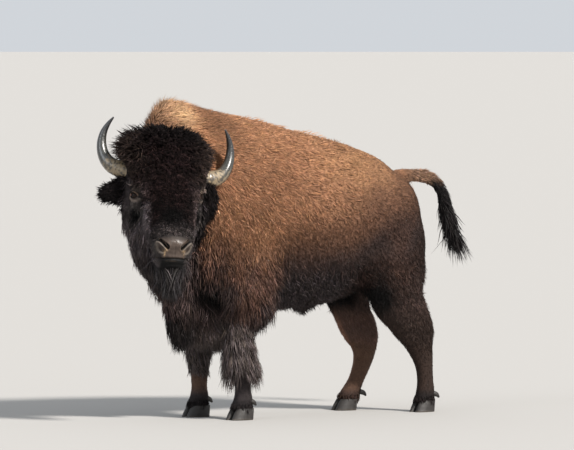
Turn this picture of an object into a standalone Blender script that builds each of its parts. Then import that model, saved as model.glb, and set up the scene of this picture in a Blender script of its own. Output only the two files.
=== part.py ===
"""A life-size standing American bison, a young adult bull in winter coat.

Body frame while modelling: +X is the animal's left, -Y is forward, +Z is up, and
the ground is Z = 0. The whole animal is lofted from rings, fused by a voxel
remesh, smoothed, reduced, and then parted into named pieces by thin cuts.
All sizes are metres and are those of the outline at the tips of the coat; the
whole is scaled to the hump's real height and centred at the end.
"""

import math

import bpy
import bmesh
import numpy as np
from mathutils import Matrix, Vector

# ---------------------------------------------------------------- main sizes
HUMP_HEIGHT = 1.600          # ground to the top of the hump's coat
DRAWN_HEIGHT = 1.6595        # the same in the numbers below, which are scaled at the end
HOOF_TOP = 0.060             # coronet, where the flesh of a foot ends
GAP = 0.0004                 # width of the cuts between pieces
VOXEL = 0.013                # grain of the fused body
FLESH_TRIANGLES = 3250       # after reduction
# the frame's origin is the middle of the animal's box, on the ground
MIDDLE = (0.1084, -0.0649, 0.0)

# head carriage
HEAD_EYE_MID = (0.296, -0.965, 1.174)  # midpoint between the eyes
HEAD_YAW = 68.0                        # turned to the animal's left, degrees
FACE_ROLL = 3.4                        # eyes and muzzle: left side a little lower
CROWN_ROLL = 6.6                       # horns, ears and bonnet: the left ones lower still
FACE_SLOPE = 60.0                      # forehead-to-nose line below level


# ---------------------------------------------------------------- small tools
def pchip(xs, ys, x):
    """Shape-preserving cubic through (xs, ys), ys one or more columns."""
    xs = np.asarray(xs, float)
    ys = np.asarray(ys, float)
    if ys.ndim == 1:
        ys = ys[:, None]
    h = np.diff(xs)[:, None]
    d = np.diff(ys, axis=0) / h
    m = np.zeros_like(ys)
    same = d[:-1] * d[1:] > 0
    w1, w2 = 2 * h[1:] + h[:-1], h[1:] + 2 * h[:-1]
    with np.errstate(divide="ignore", invalid="ignore"):
        inner = (w1 + w2) / (w1 / d[:-1] + w2 / d[1:])
    m[1:-1] = np.where(same, inner, 0)
    m[0], m[-1] = d[0], d[-1]
    i = np.clip(np.searchsorted(xs, x, side="right") - 1, 0, len(xs) - 2)
    t = ((x - xs[i]) / (xs[i + 1] - xs[i]))[:, None]
    hh = h[i]
    return (
        ys[i] * (1 + 2 * t) * (1 - t) ** 2
        + m[i] * hh * t * (1 - t) ** 2
        + ys[i + 1] * t * t * (3 - 2 * t)
        + m[i + 1] * hh * t * t * (t - 1)
    )


def spline(points, n):
    """n points and their chord parameters along a smooth curve through points."""
    p = np.asarray(points, float)
    s = np.concatenate([[0], np.cumsum(np.linalg.norm(np.diff(p[:, :3], axis=0), axis=1))])
    q = np.linspace(0, s[-1], n)
    # Catmull-Rom tangents on uneven chords
    m = np.gradient(p, s, axis=0)
    i = np.clip(np.searchsorted(s, q, side="right") - 1, 0, len(s) - 2)
    h = (s[i + 1] - s[i])[:, None]
    t = ((q - s[i])[:, None]) / h
    out = (
        p[i] * (1 + 2 * t) * (1 - t) ** 2
        + m[i] * h * t * (1 - t) ** 2
        + p[i + 1] * t * t * (3 - 2 * t)
        + m[i + 1] * h * t * t * (t - 1)
    )
    return out


def ring_mesh(rings):
    """Closed mesh from a stack of rings, each end closed by a fan."""
    rings = np.asarray(rings, float)
    m, n, _ = rings.shape
    verts = list(rings.reshape(-1, 3))
    faces = []
    for i in range(m - 1):
        for j in range(n):
            k = (j + 1) % n
            faces.append((i * n + j, i * n + k, (i + 1) * n + k))
            faces.append((i * n + j, (i + 1) * n + k, (i + 1) * n + j))
    a, b = len(verts), len(verts) + 1
    verts += [rings[0].mean(0), rings[-1].mean(0)]
    for j in range(n):
        k = (j + 1) % n
        faces.append((a, k, j))
        faces.append((b, (m - 1) * n + j, (m - 1) * n + k))
    return np.array(verts), faces


def new_object(name, verts, faces, collection):
    mesh = bpy.data.meshes.new(name)
    mesh.from_pydata([tuple(v) for v in verts], [], [tuple(f) for f in faces])
    bm = bmesh.new()
    bm.from_mesh(mesh)
    bmesh.ops.recalc_face_normals(bm, faces=bm.faces)
    bm.to_mesh(mesh)
    bm.free()
    obj = bpy.data.objects.new(name, mesh)
    collection.objects.link(obj)
    return obj


def tube(stations, side, n=28, steps=None):
    """Loft along stations (x, y, z, half-width, front, back[, squareness]).

    side is the direction of the half-width. front lies along tangent x side,
    so on a leg that runs down with side +X it points forward.
    """
    st = np.array([tuple(s) + ((2.0,) if len(s) == 6 else ()) for s in stations], float)
    steps = steps or 6 * len(st)
    q = spline(st, steps)
    t = np.gradient(q[:, :3], axis=0)
    t /= np.linalg.norm(t, axis=1)[:, None]
    side = np.broadcast_to(np.asarray(side, float), t.shape)
    s = side - (side * t).sum(1)[:, None] * t
    s /= np.linalg.norm(s, axis=1)[:, None]
    b = np.cross(t, s)
    a = np.linspace(0, 2 * math.pi, n, endpoint=False)
    c, d = np.cos(a), np.sin(a)
    rings = []
    for k in range(len(q)):
        e = 2.0 / q[k, 6]
        cx = np.sign(c) * np.abs(c) ** e * q[k, 3]
        dx = np.sign(d) * np.abs(d) ** e * np.where(d > 0, q[k, 4], q[k, 5])
        rings.append(q[k, :3] + cx[:, None] * s[k] + dx[:, None] * b[k])
    return ring_mesh(rings)


def ellipsoid(centre, radii, axes=None, n=20, m=14):
    u = np.linspace(0, 2 * math.pi, n, endpoint=False)
    rings = []
    for v in np.linspace(-math.pi / 2, math.pi / 2, m + 2)[1:-1]:
        rings.append(
            np.stack([np.cos(v) * np.cos(u), np.cos(v) * np.sin(u), np.full(n, math.sin(v))], 1)
        )
    p = np.array(rings) * np.asarray(radii, float)
    if axes is not None:
        p = p @ np.asarray(axes, float)
    return ring_mesh(p + np.asarray(centre, float))


# ---------------------------------------------------------------- head frame
def head_axes(roll):
    """Rows: left, forward (level), up, after yaw and roll."""
    y, r = math.radians(HEAD_YAW), math.radians(roll)
    fwd = np.array([math.sin(y), -math.cos(y), 0.0])
    left0 = np.array([math.cos(y), math.sin(y), 0.0])
    up0 = np.array([0, 0, 1.0])
    left = left0 * math.cos(r) - up0 * math.sin(r)
    up = up0 * math.cos(r) + left0 * math.sin(r)
    return np.array([left, fwd, up])


HA = head_axes(CROWN_ROLL)
FA = head_axes(FACE_ROLL)
EYE = np.array(HEAD_EYE_MID)


def hp(lat, fwd, up):
    """A point of the crown: left of its mid-plane, ahead of and above the eyes."""
    return EYE + np.array([lat, fwd, up]) @ HA


def fp(lat, fwd, up):
    """The same for the face."""
    return EYE + np.array([lat, fwd, up]) @ FA


SLOPE = math.radians(FACE_SLOPE)
FACE_TOP = (0.02, 0.18)       # forehead's top, ahead of and above the eyes


def face(t, n, lat=0.0):
    """A point t along the face line from the forehead's top, n proud of it."""
    f = FACE_TOP[0] + math.cos(SLOPE) * t + math.sin(SLOPE) * n
    u = FACE_TOP[1] - math.sin(SLOPE) * t + math.cos(SLOPE) * n
    return fp(lat, f, u)


# ---------------------------------------------------------------- the body
# y, top, bottom, half-width, height of that width, upper and lower squareness
TRUNK = [
    (-0.912, 1.440, 1.080, 0.050, 1.22, 1.9, 2.0),
    (-0.900, 1.520, 0.940, 0.110, 1.18, 1.8, 2.0),
    (-0.878, 1.578, 0.880, 0.155, 1.12, 1.7, 2.0),
    (-0.840, 1.640, 0.790, 0.190, 1.08, 1.6, 2.0),
    (-0.783, 1.672, 0.690, 0.220, 1.04, 1.55, 2.0),
    (-0.700, 1.660, 0.530, 0.256, 1.00, 1.55, 2.0),
    (-0.600, 1.633, 0.410, 0.294, 0.97, 1.6, 2.1),
    (-0.450, 1.601, 0.400, 0.325, 0.95, 1.7, 2.1),
    (-0.316, 1.577, 0.460, 0.332, 0.94, 1.75, 2.1),
    (-0.150, 1.540, 0.508, 0.336, 0.94, 1.8, 2.1),
    (0.000, 1.496, 0.524, 0.336, 0.95, 1.85, 2.1),
    (0.150, 1.465, 0.542, 0.330, 0.97, 1.9, 2.1),
    (0.300, 1.430, 0.600, 0.316, 1.00, 1.9, 2.1),
    (0.417, 1.393, 0.650, 0.302, 1.02, 1.9, 2.1),
    (0.514, 1.358, 0.690, 0.286, 1.03, 1.9, 2.1),
    (0.598, 1.298, 0.720, 0.262, 1.03, 1.9, 2.1),
    (0.660, 1.266, 0.740, 0.232, 1.02, 1.9, 2.0),
    (0.715, 1.234, 0.770, 0.190, 1.00, 2.0, 2.0),
    (0.755, 1.180, 0.810, 0.140, 0.98, 2.0, 2.0),
    (0.782, 1.090, 0.870, 0.080, 0.97, 2.0, 2.0),
]


def trunk():
    st = np.array(TRUNK)
    y = np.linspace(st[0, 0], st[-1, 0], 70)
    v = pchip(st[:, 0], st[:, 1:], y)
    a = np.linspace(0, 2 * math.pi, 40, endpoint=False)
    c, s = np.cos(a), np.sin(a)
    rings = []
    for k in range(len(y)):
        top, bot, w, zw, et, eb = v[k]
        e = 2.0 / np.where(s > 0, et, eb)
        x = w * np.sign(c) * np.abs(c) ** e
        z = zw + np.where(s > 0, top - zw, zw - bot) * np.sign(s) * np.abs(s) ** e
        rings.append(np.stack([x, np.full_like(x, y[k]), z], 1))
    return ring_mesh(rings)


NECK = [
    (0.000, -0.60, 1.08, 0.22, 0.46, 0.46),
    (0.008, -0.72, 1.08, 0.205, 0.42, 0.38),
    (0.032, -0.82, 1.10, 0.180, 0.37, 0.30),
    (0.066, -0.89, 1.12, 0.165, 0.31, 0.26),
    (0.112, -0.94, 1.14, 0.16, 0.25, 0.24),
]

LEFT_HIND = [   # x, y, z, half-width, front, back
    (0.135, 0.50, 1.10, 0.120, 0.20, 0.20),
    (0.150, 0.51, 0.95, 0.125, 0.22, 0.215),
    (0.160, 0.52, 0.82, 0.120, 0.215, 0.225),
    (0.168, 0.535, 0.71, 0.108, 0.19, 0.215),
    (0.172, 0.568, 0.60, 0.090, 0.165, 0.178),
    (0.174, 0.625, 0.515, 0.074, 0.135, 0.142),
    (0.175, 0.668, 0.450, 0.065, 0.124, 0.130),
    (0.176, 0.693, 0.395, 0.059, 0.106, 0.112),
    (0.177, 0.708, 0.345, 0.054, 0.084, 0.086),
    (0.177, 0.728, 0.280, 0.048, 0.064, 0.067),
    (0.177, 0.741, 0.211, 0.043, 0.053, 0.055),
    (0.176, 0.745, 0.150, 0.043, 0.052, 0.054),
    (0.175, 0.746, 0.105, 0.050, 0.056, 0.060),
    (0.174, 0.740, 0.070, 0.052, 0.058, 0.058),
    (0.172, 0.732, 0.045, 0.054, 0.060, 0.056),
]
RIGHT_HIND = [
    (-0.135, 0.48, 1.10, 0.120, 0.20, 0.22),
    (-0.150, 0.48, 0.95, 0.125, 0.22, 0.215),
    (-0.160, 0.465, 0.82, 0.120, 0.205, 0.215),
    (-0.168, 0.460, 0.71, 0.105, 0.170, 0.200),
    (-0.171, 0.485, 0.60, 0.086, 0.135, 0.152),
    (-0.172, 0.528, 0.50, 0.068, 0.115, 0.118),
    (-0.172, 0.568, 0.425, 0.061, 0.108, 0.116),
    (-0.172, 0.592, 0.365, 0.055, 0.092, 0.098),
    (-0.172, 0.597, 0.310, 0.050, 0.074, 0.078),
    (-0.172, 0.587, 0.255, 0.045, 0.060, 0.064),
    (-0.172, 0.566, 0.200, 0.042, 0.052, 0.054),
    (-0.172, 0.539, 0.145, 0.042, 0.049, 0.051),
    (-0.171, 0.517, 0.105, 0.049, 0.054, 0.058),
    (-0.170, 0.492, 0.070, 0.052, 0.057, 0.057),
    (-0.170, 0.474, 0.045, 0.054, 0.058, 0.056),
]
LEFT_FORE = [
    (0.150, -0.52, 0.95, 0.13, 0.19, 0.20),
    (0.172, -0.50, 0.78, 0.135, 0.18, 0.20),
    (0.182, -0.475, 0.62, 0.128, 0.155, 0.175),
    (0.182, -0.455, 0.50, 0.115, 0.128, 0.140),
    (0.178, -0.445, 0.40, 0.098, 0.114, 0.096),
    (0.175, -0.436, 0.32, 0.098, 0.116, 0.108),
    (0.173, -0.428, 0.262, 0.096, 0.112, 0.116),
    (0.171, -0.420, 0.222, 0.060, 0.068, 0.070),
    (0.170, -0.418, 0.190, 0.048, 0.050, 0.053),
    (0.170, -0.416, 0.150, 0.046, 0.047, 0.050),
    (0.170, -0.415, 0.105, 0.054, 0.054, 0.058),
    (0.170, -0.422, 0.070, 0.057, 0.060, 0.056),
    (0.170, -0.430, 0.045, 0.058, 0.062, 0.054),
]
RIGHT_FORE = [
    (-0.150, -0.54, 0.95, 0.13, 0.19, 0.20),
    (-0.170, -0.52, 0.78, 0.135, 0.175, 0.20),
    (-0.178, -0.495, 0.62, 0.125, 0.145, 0.175),
    (-0.178, -0.478, 0.50, 0.108, 0.115, 0.135),
    (-0.175, -0.468, 0.40, 0.092, 0.098, 0.108),
    (-0.173, -0.462, 0.33, 0.080, 0.084, 0.094),
    (-0.171, -0.459, 0.265, 0.062, 0.064, 0.072),
    (-0.170, -0.458, 0.215, 0.048, 0.050, 0.054),
    (-0.170, -0.458, 0.150, 0.045, 0.046, 0.050),
    (-0.170, -0.457, 0.105, 0.054, 0.054, 0.058),
    (-0.170, -0.464, 0.070, 0.057, 0.060, 0.056),
    (-0.170, -0.472, 0.045, 0.058, 0.062, 0.054),
]
# the bony tail and its switch of long hair: x, y, z, half-width, upper, lower
TAIL = [
    (0.000, 0.660, 1.225, 0.055, 0.050, 0.055),
    (0.003, 0.725, 1.243, 0.038, 0.034, 0.037),
    (0.010, 0.785, 1.245, 0.029, 0.031, 0.029),
    (0.020, 0.842, 1.235, 0.026, 0.031, 0.025),
    (0.032, 0.892, 1.204, 0.026, 0.032, 0.025),
    (0.042, 0.930, 1.150, 0.028, 0.034, 0.026),
    (0.050, 0.958, 1.075, 0.033, 0.036, 0.030),
    (0.058, 0.985, 1.000, 0.043, 0.044, 0.036),
    (0.066, 1.020, 0.930, 0.050, 0.052, 0.042),
    (0.076, 1.056, 0.868, 0.050, 0.052, 0.044),
    (0.086, 1.088, 0.812, 0.038, 0.038, 0.036),
    (0.092, 1.106, 0.770, 0.018, 0.018, 0.018),
]

# head rings: t along the face, half-width, top and bottom off the face line
HEAD = [
    (-0.130, 0.090, 0.000, -0.240, 2.0),
    (-0.090, 0.150, 0.030, -0.290, 2.0),
    (-0.030, 0.172, 0.048, -0.315, 2.1),
    (0.040, 0.176, 0.052, -0.325, 2.2),
    (0.100, 0.172, 0.052, -0.330, 2.3),
    (0.150, 0.166, 0.048, -0.325, 2.3),
    (0.220, 0.150, 0.042, -0.310, 2.3),
    (0.300, 0.132, 0.036, -0.280, 2.3),
    (0.380, 0.118, 0.030, -0.250, 2.4),
    (0.430, 0.114, 0.028, -0.230, 2.5),
    (0.470, 0.113, 0.014, -0.216, 2.6),
    (0.505, 0.110, -0.014, -0.208, 2.6),
    (0.540, 0.102, -0.046, -0.198, 2.5),
    (0.566, 0.080, -0.070, -0.182, 2.3),
    (0.578, 0.044, -0.100, -0.155, 2.0),
]


def head_core():
    st = np.array(HEAD)
    t = np.linspace(st[0, 0], st[-1, 0], 44)
    v = pchip(st[:, 0], st[:, 1:], t)
    a = np.linspace(0, 2 * math.pi, 32, endpoint=False)
    c, s = np.cos(a), np.sin(a)
    rings = []
    for k in range(len(t)):
        w, top, bot, e = v[k]
        mid, half = (top + bot) / 2, (top - bot) / 2
        e = 2.0 / e
        lat = w * np.sign(c) * np.abs(c) ** e
        n = mid + half * np.sign(s) * np.abs(s) ** e
        rings.append([face(t[k], n[j], lat[j]) for j in range(len(a))])
    return ring_mesh(rings)


def head_masses():
    """The bonnet of long hair, the cheeks, the jaw, the throat mane and the brows."""
    parts = [
        ellipsoid(hp(-0.008, -0.085, 0.152), (0.276, 0.160, 0.216), HA),
        ellipsoid(hp(0, 0.000, 0.105), (0.205, 0.115, 0.130), HA),
    ]
    for sgn in (1, -1):
        parts.append(ellipsoid(face(0.18, -0.255, 0.112 * sgn), (0.102, 0.115, 0.155), FA))
        parts.append(ellipsoid(face(0.34, -0.190, 0.075 * sgn), (0.070, 0.090, 0.110), FA))
        parts.append(ellipsoid(hp(0.155 * sgn, -0.10, 0.09), (0.078, 0.09, 0.10), HA))
    parts.append(ellipsoid(face(0.50, -0.10), (0.086, 0.075, 0.062), FA))
    # throat mane, from under the jaw back to the chest
    parts.append(tube(
        [
            tuple(fp(0, 0.00, -0.16)) + (0.150, 0.14, 0.14),
            tuple(fp(0, -0.08, -0.26)) + (0.150, 0.14, 0.15),
            (0.17, -0.870, 0.80, 0.130, 0.12, 0.16),
            (0.09, -0.752, 0.67, 0.112, 0.12, 0.17),
            (0.03, -0.680, 0.56, 0.125, 0.12, 0.16),
        ],
        (0.8, 0.6, 0.0),
    ))
    return parts


def beard():
    """Hangs straight down from the chin and the jaw."""
    chin = face(0.47, -0.14)
    path = ((0.000, 0.070, 0.060, 0.060), (-0.055, 0.098, 0.060, 0.085), (-0.120, 0.092, 0.058, 0.085),
            (-0.190, 0.066, 0.046, 0.065), (-0.240, 0.036, 0.030, 0.040), (-0.268, 0.012, 0.012, 0.014))
    back = fp(0, -1, 0) - EYE
    return tube(
        [tuple(chin + np.array([0, 0, dz]) + back * (0.02 - 0.10 * dz)) + (w, f, b)
         for dz, w, f, b in path],
        (FA[0][0], FA[0][1], 0.0),
    )


def ear(sgn):
    if sgn < 0:   # held level, out to the side
        path = [
            (-0.150, -0.095, 0.005, 0.040, 0.030, 0.030),
            (-0.210, -0.100, -0.005, 0.060, 0.040, 0.038),
            (-0.265, -0.103, -0.014, 0.068, 0.040, 0.038),
            (-0.315, -0.106, -0.024, 0.052, 0.032, 0.030),
            (-0.345, -0.108, -0.032, 0.016, 0.012, 0.012),
        ]
        side = HA[2]
    else:         # dropped, beside the cheek
        path = [
            (0.150, -0.095, 0.070, 0.040, 0.030, 0.030),
            (0.215, -0.100, 0.055, 0.050, 0.040, 0.036),
            (0.256, -0.104, 0.010, 0.054, 0.042, 0.036),
            (0.262, -0.106, -0.055, 0.050, 0.038, 0.032),
            (0.250, -0.108, -0.110, 0.036, 0.026, 0.024),
            (0.238, -0.110, -0.140, 0.012, 0.010, 0.010),
        ]
        side = HA[1] * 0.45 + HA[0] * 0.9
    st = [tuple(hp(*p[:3])) + p[3:] for p in path]
    return tube(st, side)


# horn: lateral, forward, up, radius, for the left side
HORN = [
    (0.125, -0.080, 0.100, 0.047),
    (0.180, -0.088, 0.097, 0.047),
    (0.230, -0.100, 0.098, 0.045),
    (0.273, -0.118, 0.110, 0.0405),
    (0.308, -0.140, 0.140, 0.0345),
    (0.329, -0.156, 0.182, 0.0285),
    (0.336, -0.166, 0.230, 0.0235),
    (0.330, -0.166, 0.280, 0.0175),
    (0.313, -0.158, 0.323, 0.0110),
    (0.292, -0.147, 0.358, 0.0040),
]


def horn(sgn):
    st = [tuple(hp(sgn * lat, f, u)) + (r,) * 3 for lat, f, u, r in HORN]
    return tube(st, HA[1], n=10, steps=15)


EYE_RADIUS = 0.021


def eye(sgn):
    return ellipsoid(fp(sgn * 0.161, 0.006, -0.005), (EYE_RADIUS,) * 3, n=10, m=6)


# ---------------------------------------------------------------- feet
FEET = {   # name: x, y of the foot's middle, toe's turn outwards in degrees
    "fore_l": (0.170, -0.437, 4),
    "fore_r": (-0.170, -0.479, -4),
    "hind_l": (0.172, 0.727, 6),
    "hind_r": (-0.170, 0.467, -6),
}
CLAW_LENGTH, CLAW_WIDTH = 0.134, 0.054


def claw(foot, sgn):
    """One of a foot's two claws: a flat sole, a sloping toe wall and a rounded heel."""
    x0, y0, turn = FEET[foot]
    k = 0.93 if foot.startswith("hind") else 1.0
    a = np.linspace(0, 2 * math.pi, 12, endpoint=False)
    rings = []
    for f, z in ((0.0, 0.0), (0.12, 0.006), (0.5, 0.032), (1.0, HOOF_TOP - GAP)):
        half_l = k * (CLAW_LENGTH / 2) * (1.0 - 0.24 * f)
        half_w = k * (CLAW_WIDTH / 2) * (1.0 - 0.07 * f)
        if z == 0.0:
            half_l -= 0.003
            half_w -= 0.003
        cy = 0.020 * f - 0.004
        c, s = np.cos(a), np.sin(a)
        # narrower toe, inner wall nearly straight
        w = half_w * np.sign(c) * np.abs(c) ** 0.8
        l = half_l * np.sign(s) * np.abs(s) ** 0.85
        toe = np.clip(-l / half_l, 0, 1)
        w = w * (1 - 0.28 * toe**2)
        lean = -sgn * 0.006 * toe**2
        px = sgn * (k * CLAW_WIDTH / 2 + 0.003) + w + lean
        rings.append(np.stack([px, l + cy, np.full_like(px, z)], 1))
    v, f = ring_mesh(rings)
    t = math.radians(turn)
    r = np.array([[math.cos(t), math.sin(t), 0], [-math.sin(t), math.cos(t), 0], [0, 0, 1]])
    return v @ r + np.array([x0, y0, 0]), f


def dewclaw(foot, sgn):
    x0, y0, turn = FEET[foot]
    yb = y0 + {"hind_l": 0.072, "hind_r": 0.104}.get(foot, 0.066)
    base = np.array([x0 + sgn * 0.024, yb - 0.020, 0.098])
    tip = np.array([x0 + sgn * 0.030, yb + 0.018, 0.074])
    mid = base * 0.45 + tip * 0.55 + np.array([0, 0.004, 0.004])
    return tube(
        [tuple(base) + (0.013, 0.014, 0.014), tuple(mid) + (0.012, 0.013, 0.012),
         tuple(tip) + (0.006, 0.006, 0.006)],
        (1, 0, 0), n=6, steps=4)


def seat(name, piece, collection):
    """The hollow a piece sits in: the piece itself, swollen by a little more than a cut."""
    obj = new_object(name, *piece, collection)
    for v in obj.data.vertices:
        v.co = v.co + v.normal * (3 * GAP)
    obj.hide_render = True
    obj.display_type = "WIRE"
    return obj


# ---------------------------------------------------------------- fusing and parting
def clear_scene():
    for obj in list(bpy.data.objects):
        bpy.data.objects.remove(obj, do_unlink=True)
    for mesh in list(bpy.data.meshes):
        bpy.data.meshes.remove(mesh)


def evaluated_mesh(obj, name):
    graph = bpy.context.evaluated_depsgraph_get()
    mesh = bpy.data.meshes.new_from_object(obj.evaluated_get(graph))
    mesh.name = name
    return mesh


def apply_all(obj):
    bpy.context.view_layer.update()
    mesh = evaluated_mesh(obj, obj.name)
    obj.modifiers.clear()
    obj.data = mesh
    return obj


def joined(name, pieces, collection):
    verts, faces, base = [], [], 0
    for v, f in pieces:
        verts.append(v)
        faces += [tuple(i + base for i in q) for q in f]
        base += len(v)
    return new_object(name, np.concatenate(verts), faces, collection)


def add(obj, kind, **settings):
    m = obj.modifiers.new(kind.lower(), kind)
    for k, v in settings.items():
        setattr(m, k, v)
    return m


def fuse(name, pieces, smoothing, collection):
    """Makes overlapping closed shapes one skin and rounds its creases."""
    obj = joined(name, pieces, collection)
    add(obj, "REMESH", mode="VOXEL", voxel_size=VOXEL, use_smooth_shade=False)
    add(obj, "SMOOTH", factor=0.5, iterations=smoothing)
    return apply_all(obj)


def as_piece(obj):
    """An object's mesh back as vertices and faces, the object removed."""
    mesh = obj.data
    verts = np.array([tuple(v.co) for v in mesh.vertices])
    faces = [tuple(p.vertices) for p in mesh.polygons]
    bpy.data.objects.remove(obj, do_unlink=True)
    return verts, faces


def fused_flesh(collection):
    """The whole soft body as one closed skin of triangles."""
    # trunk with its cape of long hair: shoulder, elbow fringe, stifle, buttock
    torso = [
        trunk(),
        tube(NECK, (1, 0, 0), n=32),
        ellipsoid((-0.015, -0.80, 1.20), (0.195, 0.165, 0.30)),
        ellipsoid((0.000, -0.83, 1.30), (0.165, 0.135, 0.24)),
        ellipsoid((0.070, -0.89, 1.23), (0.170, 0.140, 0.23)),
        ellipsoid((0.000, -0.640, 0.500), (0.110, 0.110, 0.135)),
    ]
    for sgn, y_elbow in ((1, -0.36), (-1, -0.40)):
        torso.append(ellipsoid((0.180 * sgn, -0.54, 0.86), (0.150, 0.22, 0.31)))
        torso.append(ellipsoid((0.205 * sgn, y_elbow, 0.575), (0.100, 0.165, 0.178)))
        torso.append(ellipsoid((0.175 * sgn, 0.38, 0.83), (0.115, 0.17, 0.17)))
        torso.append(ellipsoid((0.120 * sgn, 0.57, 0.88), (0.150, 0.205, 0.27)))
    for leg in (LEFT_HIND, RIGHT_HIND):
        torso.append(tube([q for q in leg if q[2] > 0.55], (1, 0, 0), n=24, steps=30))
    for leg in (LEFT_FORE, RIGHT_FORE):
        torso.append(tube([q for q in leg if q[2] > 0.45], (1, 0, 0), n=24, steps=30))
    torso = as_piece(fuse("torso", torso, 30, collection))
    pieces = [
        torso,
        tube(LEFT_HIND, (1, 0, 0), steps=80),
        tube(RIGHT_HIND, (1, 0, 0), steps=80),
        tube(LEFT_FORE, (1, 0, 0), steps=80),
        tube(RIGHT_FORE, (1, 0, 0), steps=80),
        tube(TAIL, (1, 0, 0), steps=70),
        head_core(),
        *head_masses(),
        beard(),
        ear(1),
        ear(-1),
        ellipsoid((0.0, 0.075, 0.525), (0.045, 0.060, 0.078)),   # the sheath's tuft
    ]
    obj = fuse("flesh", pieces, 8, collection)
    count = sum(len(p.vertices) - 2 for p in obj.data.polygons)
    add(obj, "TRIANGULATE")
    add(obj, "DECIMATE", decimate_type="COLLAPSE", ratio=FLESH_TRIANGLES / count,
        use_collapse_triangulate=True)
    return apply_all(obj)


def box_cutter(name, centre, axes, half, collection):
    """A box with its own axes (rows), half sizes along them."""
    bm = bmesh.new()
    bmesh.ops.create_cube(bm, size=2.0)
    m = np.array([[v.co.x, v.co.y, v.co.z] for v in bm.verts]) * np.asarray(half)
    axes = np.array(axes, float)
    if np.linalg.det(axes) < 0:      # keep the box's faces outwards
        axes[0] = -axes[0]
    m = m @ axes + np.asarray(centre, float)
    for v, p in zip(bm.verts, m):
        v.co = p
    mesh = bpy.data.meshes.new(name)
    bm.to_mesh(mesh)
    bm.free()
    obj = bpy.data.objects.new(name, mesh)
    collection.objects.link(obj)
    obj.hide_render = True
    obj.display_type = "WIRE"
    return obj


def boolean(obj, other, operation):
    add(obj, "BOOLEAN", operation=operation, object=other, solver="EXACT")
    apply_all(obj)


def largest_body(obj):
    """Drops stray slivers that a cut has left, keeping the largest body."""
    bm = bmesh.new()
    bm.from_mesh(obj.data)
    bm.verts.ensure_lookup_table()
    seen, groups = set(), []
    for v in bm.verts:
        if v.index in seen:
            continue
        stack, group = [v], []
        seen.add(v.index)
        while stack:
            w = stack.pop()
            group.append(w)
            for e in w.link_edges:
                o = e.other_vert(w)
                if o.index not in seen:
                    seen.add(o.index)
                    stack.append(o)
        groups.append(group)
    groups.sort(key=len)
    for group in groups[:-1]:
        bmesh.ops.delete(bm, geom=group, context="VERTS")
    bm.to_mesh(obj.data)
    bm.free()


def split_off(body, name, centre, axes, half, collection, cutters):
    """Takes what of body lies in the box as a new piece, with a thin cut between."""
    inner = box_cutter(name + "_in", centre, axes, np.asarray(half) - GAP / 2, cutters)
    outer = box_cutter(name + "_out", centre, axes, np.asarray(half) + GAP / 2, cutters)
    piece = bpy.data.objects.new(name, body.data.copy())
    collection.objects.link(piece)
    boolean(piece, inner, "INTERSECT")
    boolean(body, outer, "DIFFERENCE")
    largest_body(piece)
    largest_body(body)
    return piece


MATERIALS = {
    "coat_tan": ((0.40, 0.24, 0.13), 0.85),
    "coat_dark": ((0.055, 0.035, 0.026), 0.85),
    "coat_brown": ((0.11, 0.065, 0.042), 0.85),
    "horn": ((0.16, 0.135, 0.10), 0.35),
    "hoof": ((0.035, 0.028, 0.024), 0.5),
    "eye": ((0.02, 0.012, 0.010), 0.08),
}


def material(slot):
    if slot in bpy.data.materials:
        return bpy.data.materials[slot]
    m = bpy.data.materials.new(slot)
    m.use_nodes = True
    shader = m.node_tree.nodes["Principled BSDF"]
    colour, rough = MATERIALS[slot]
    shader.inputs["Base Color"].default_value = (*colour, 1)
    shader.inputs["Roughness"].default_value = rough
    return m


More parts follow.
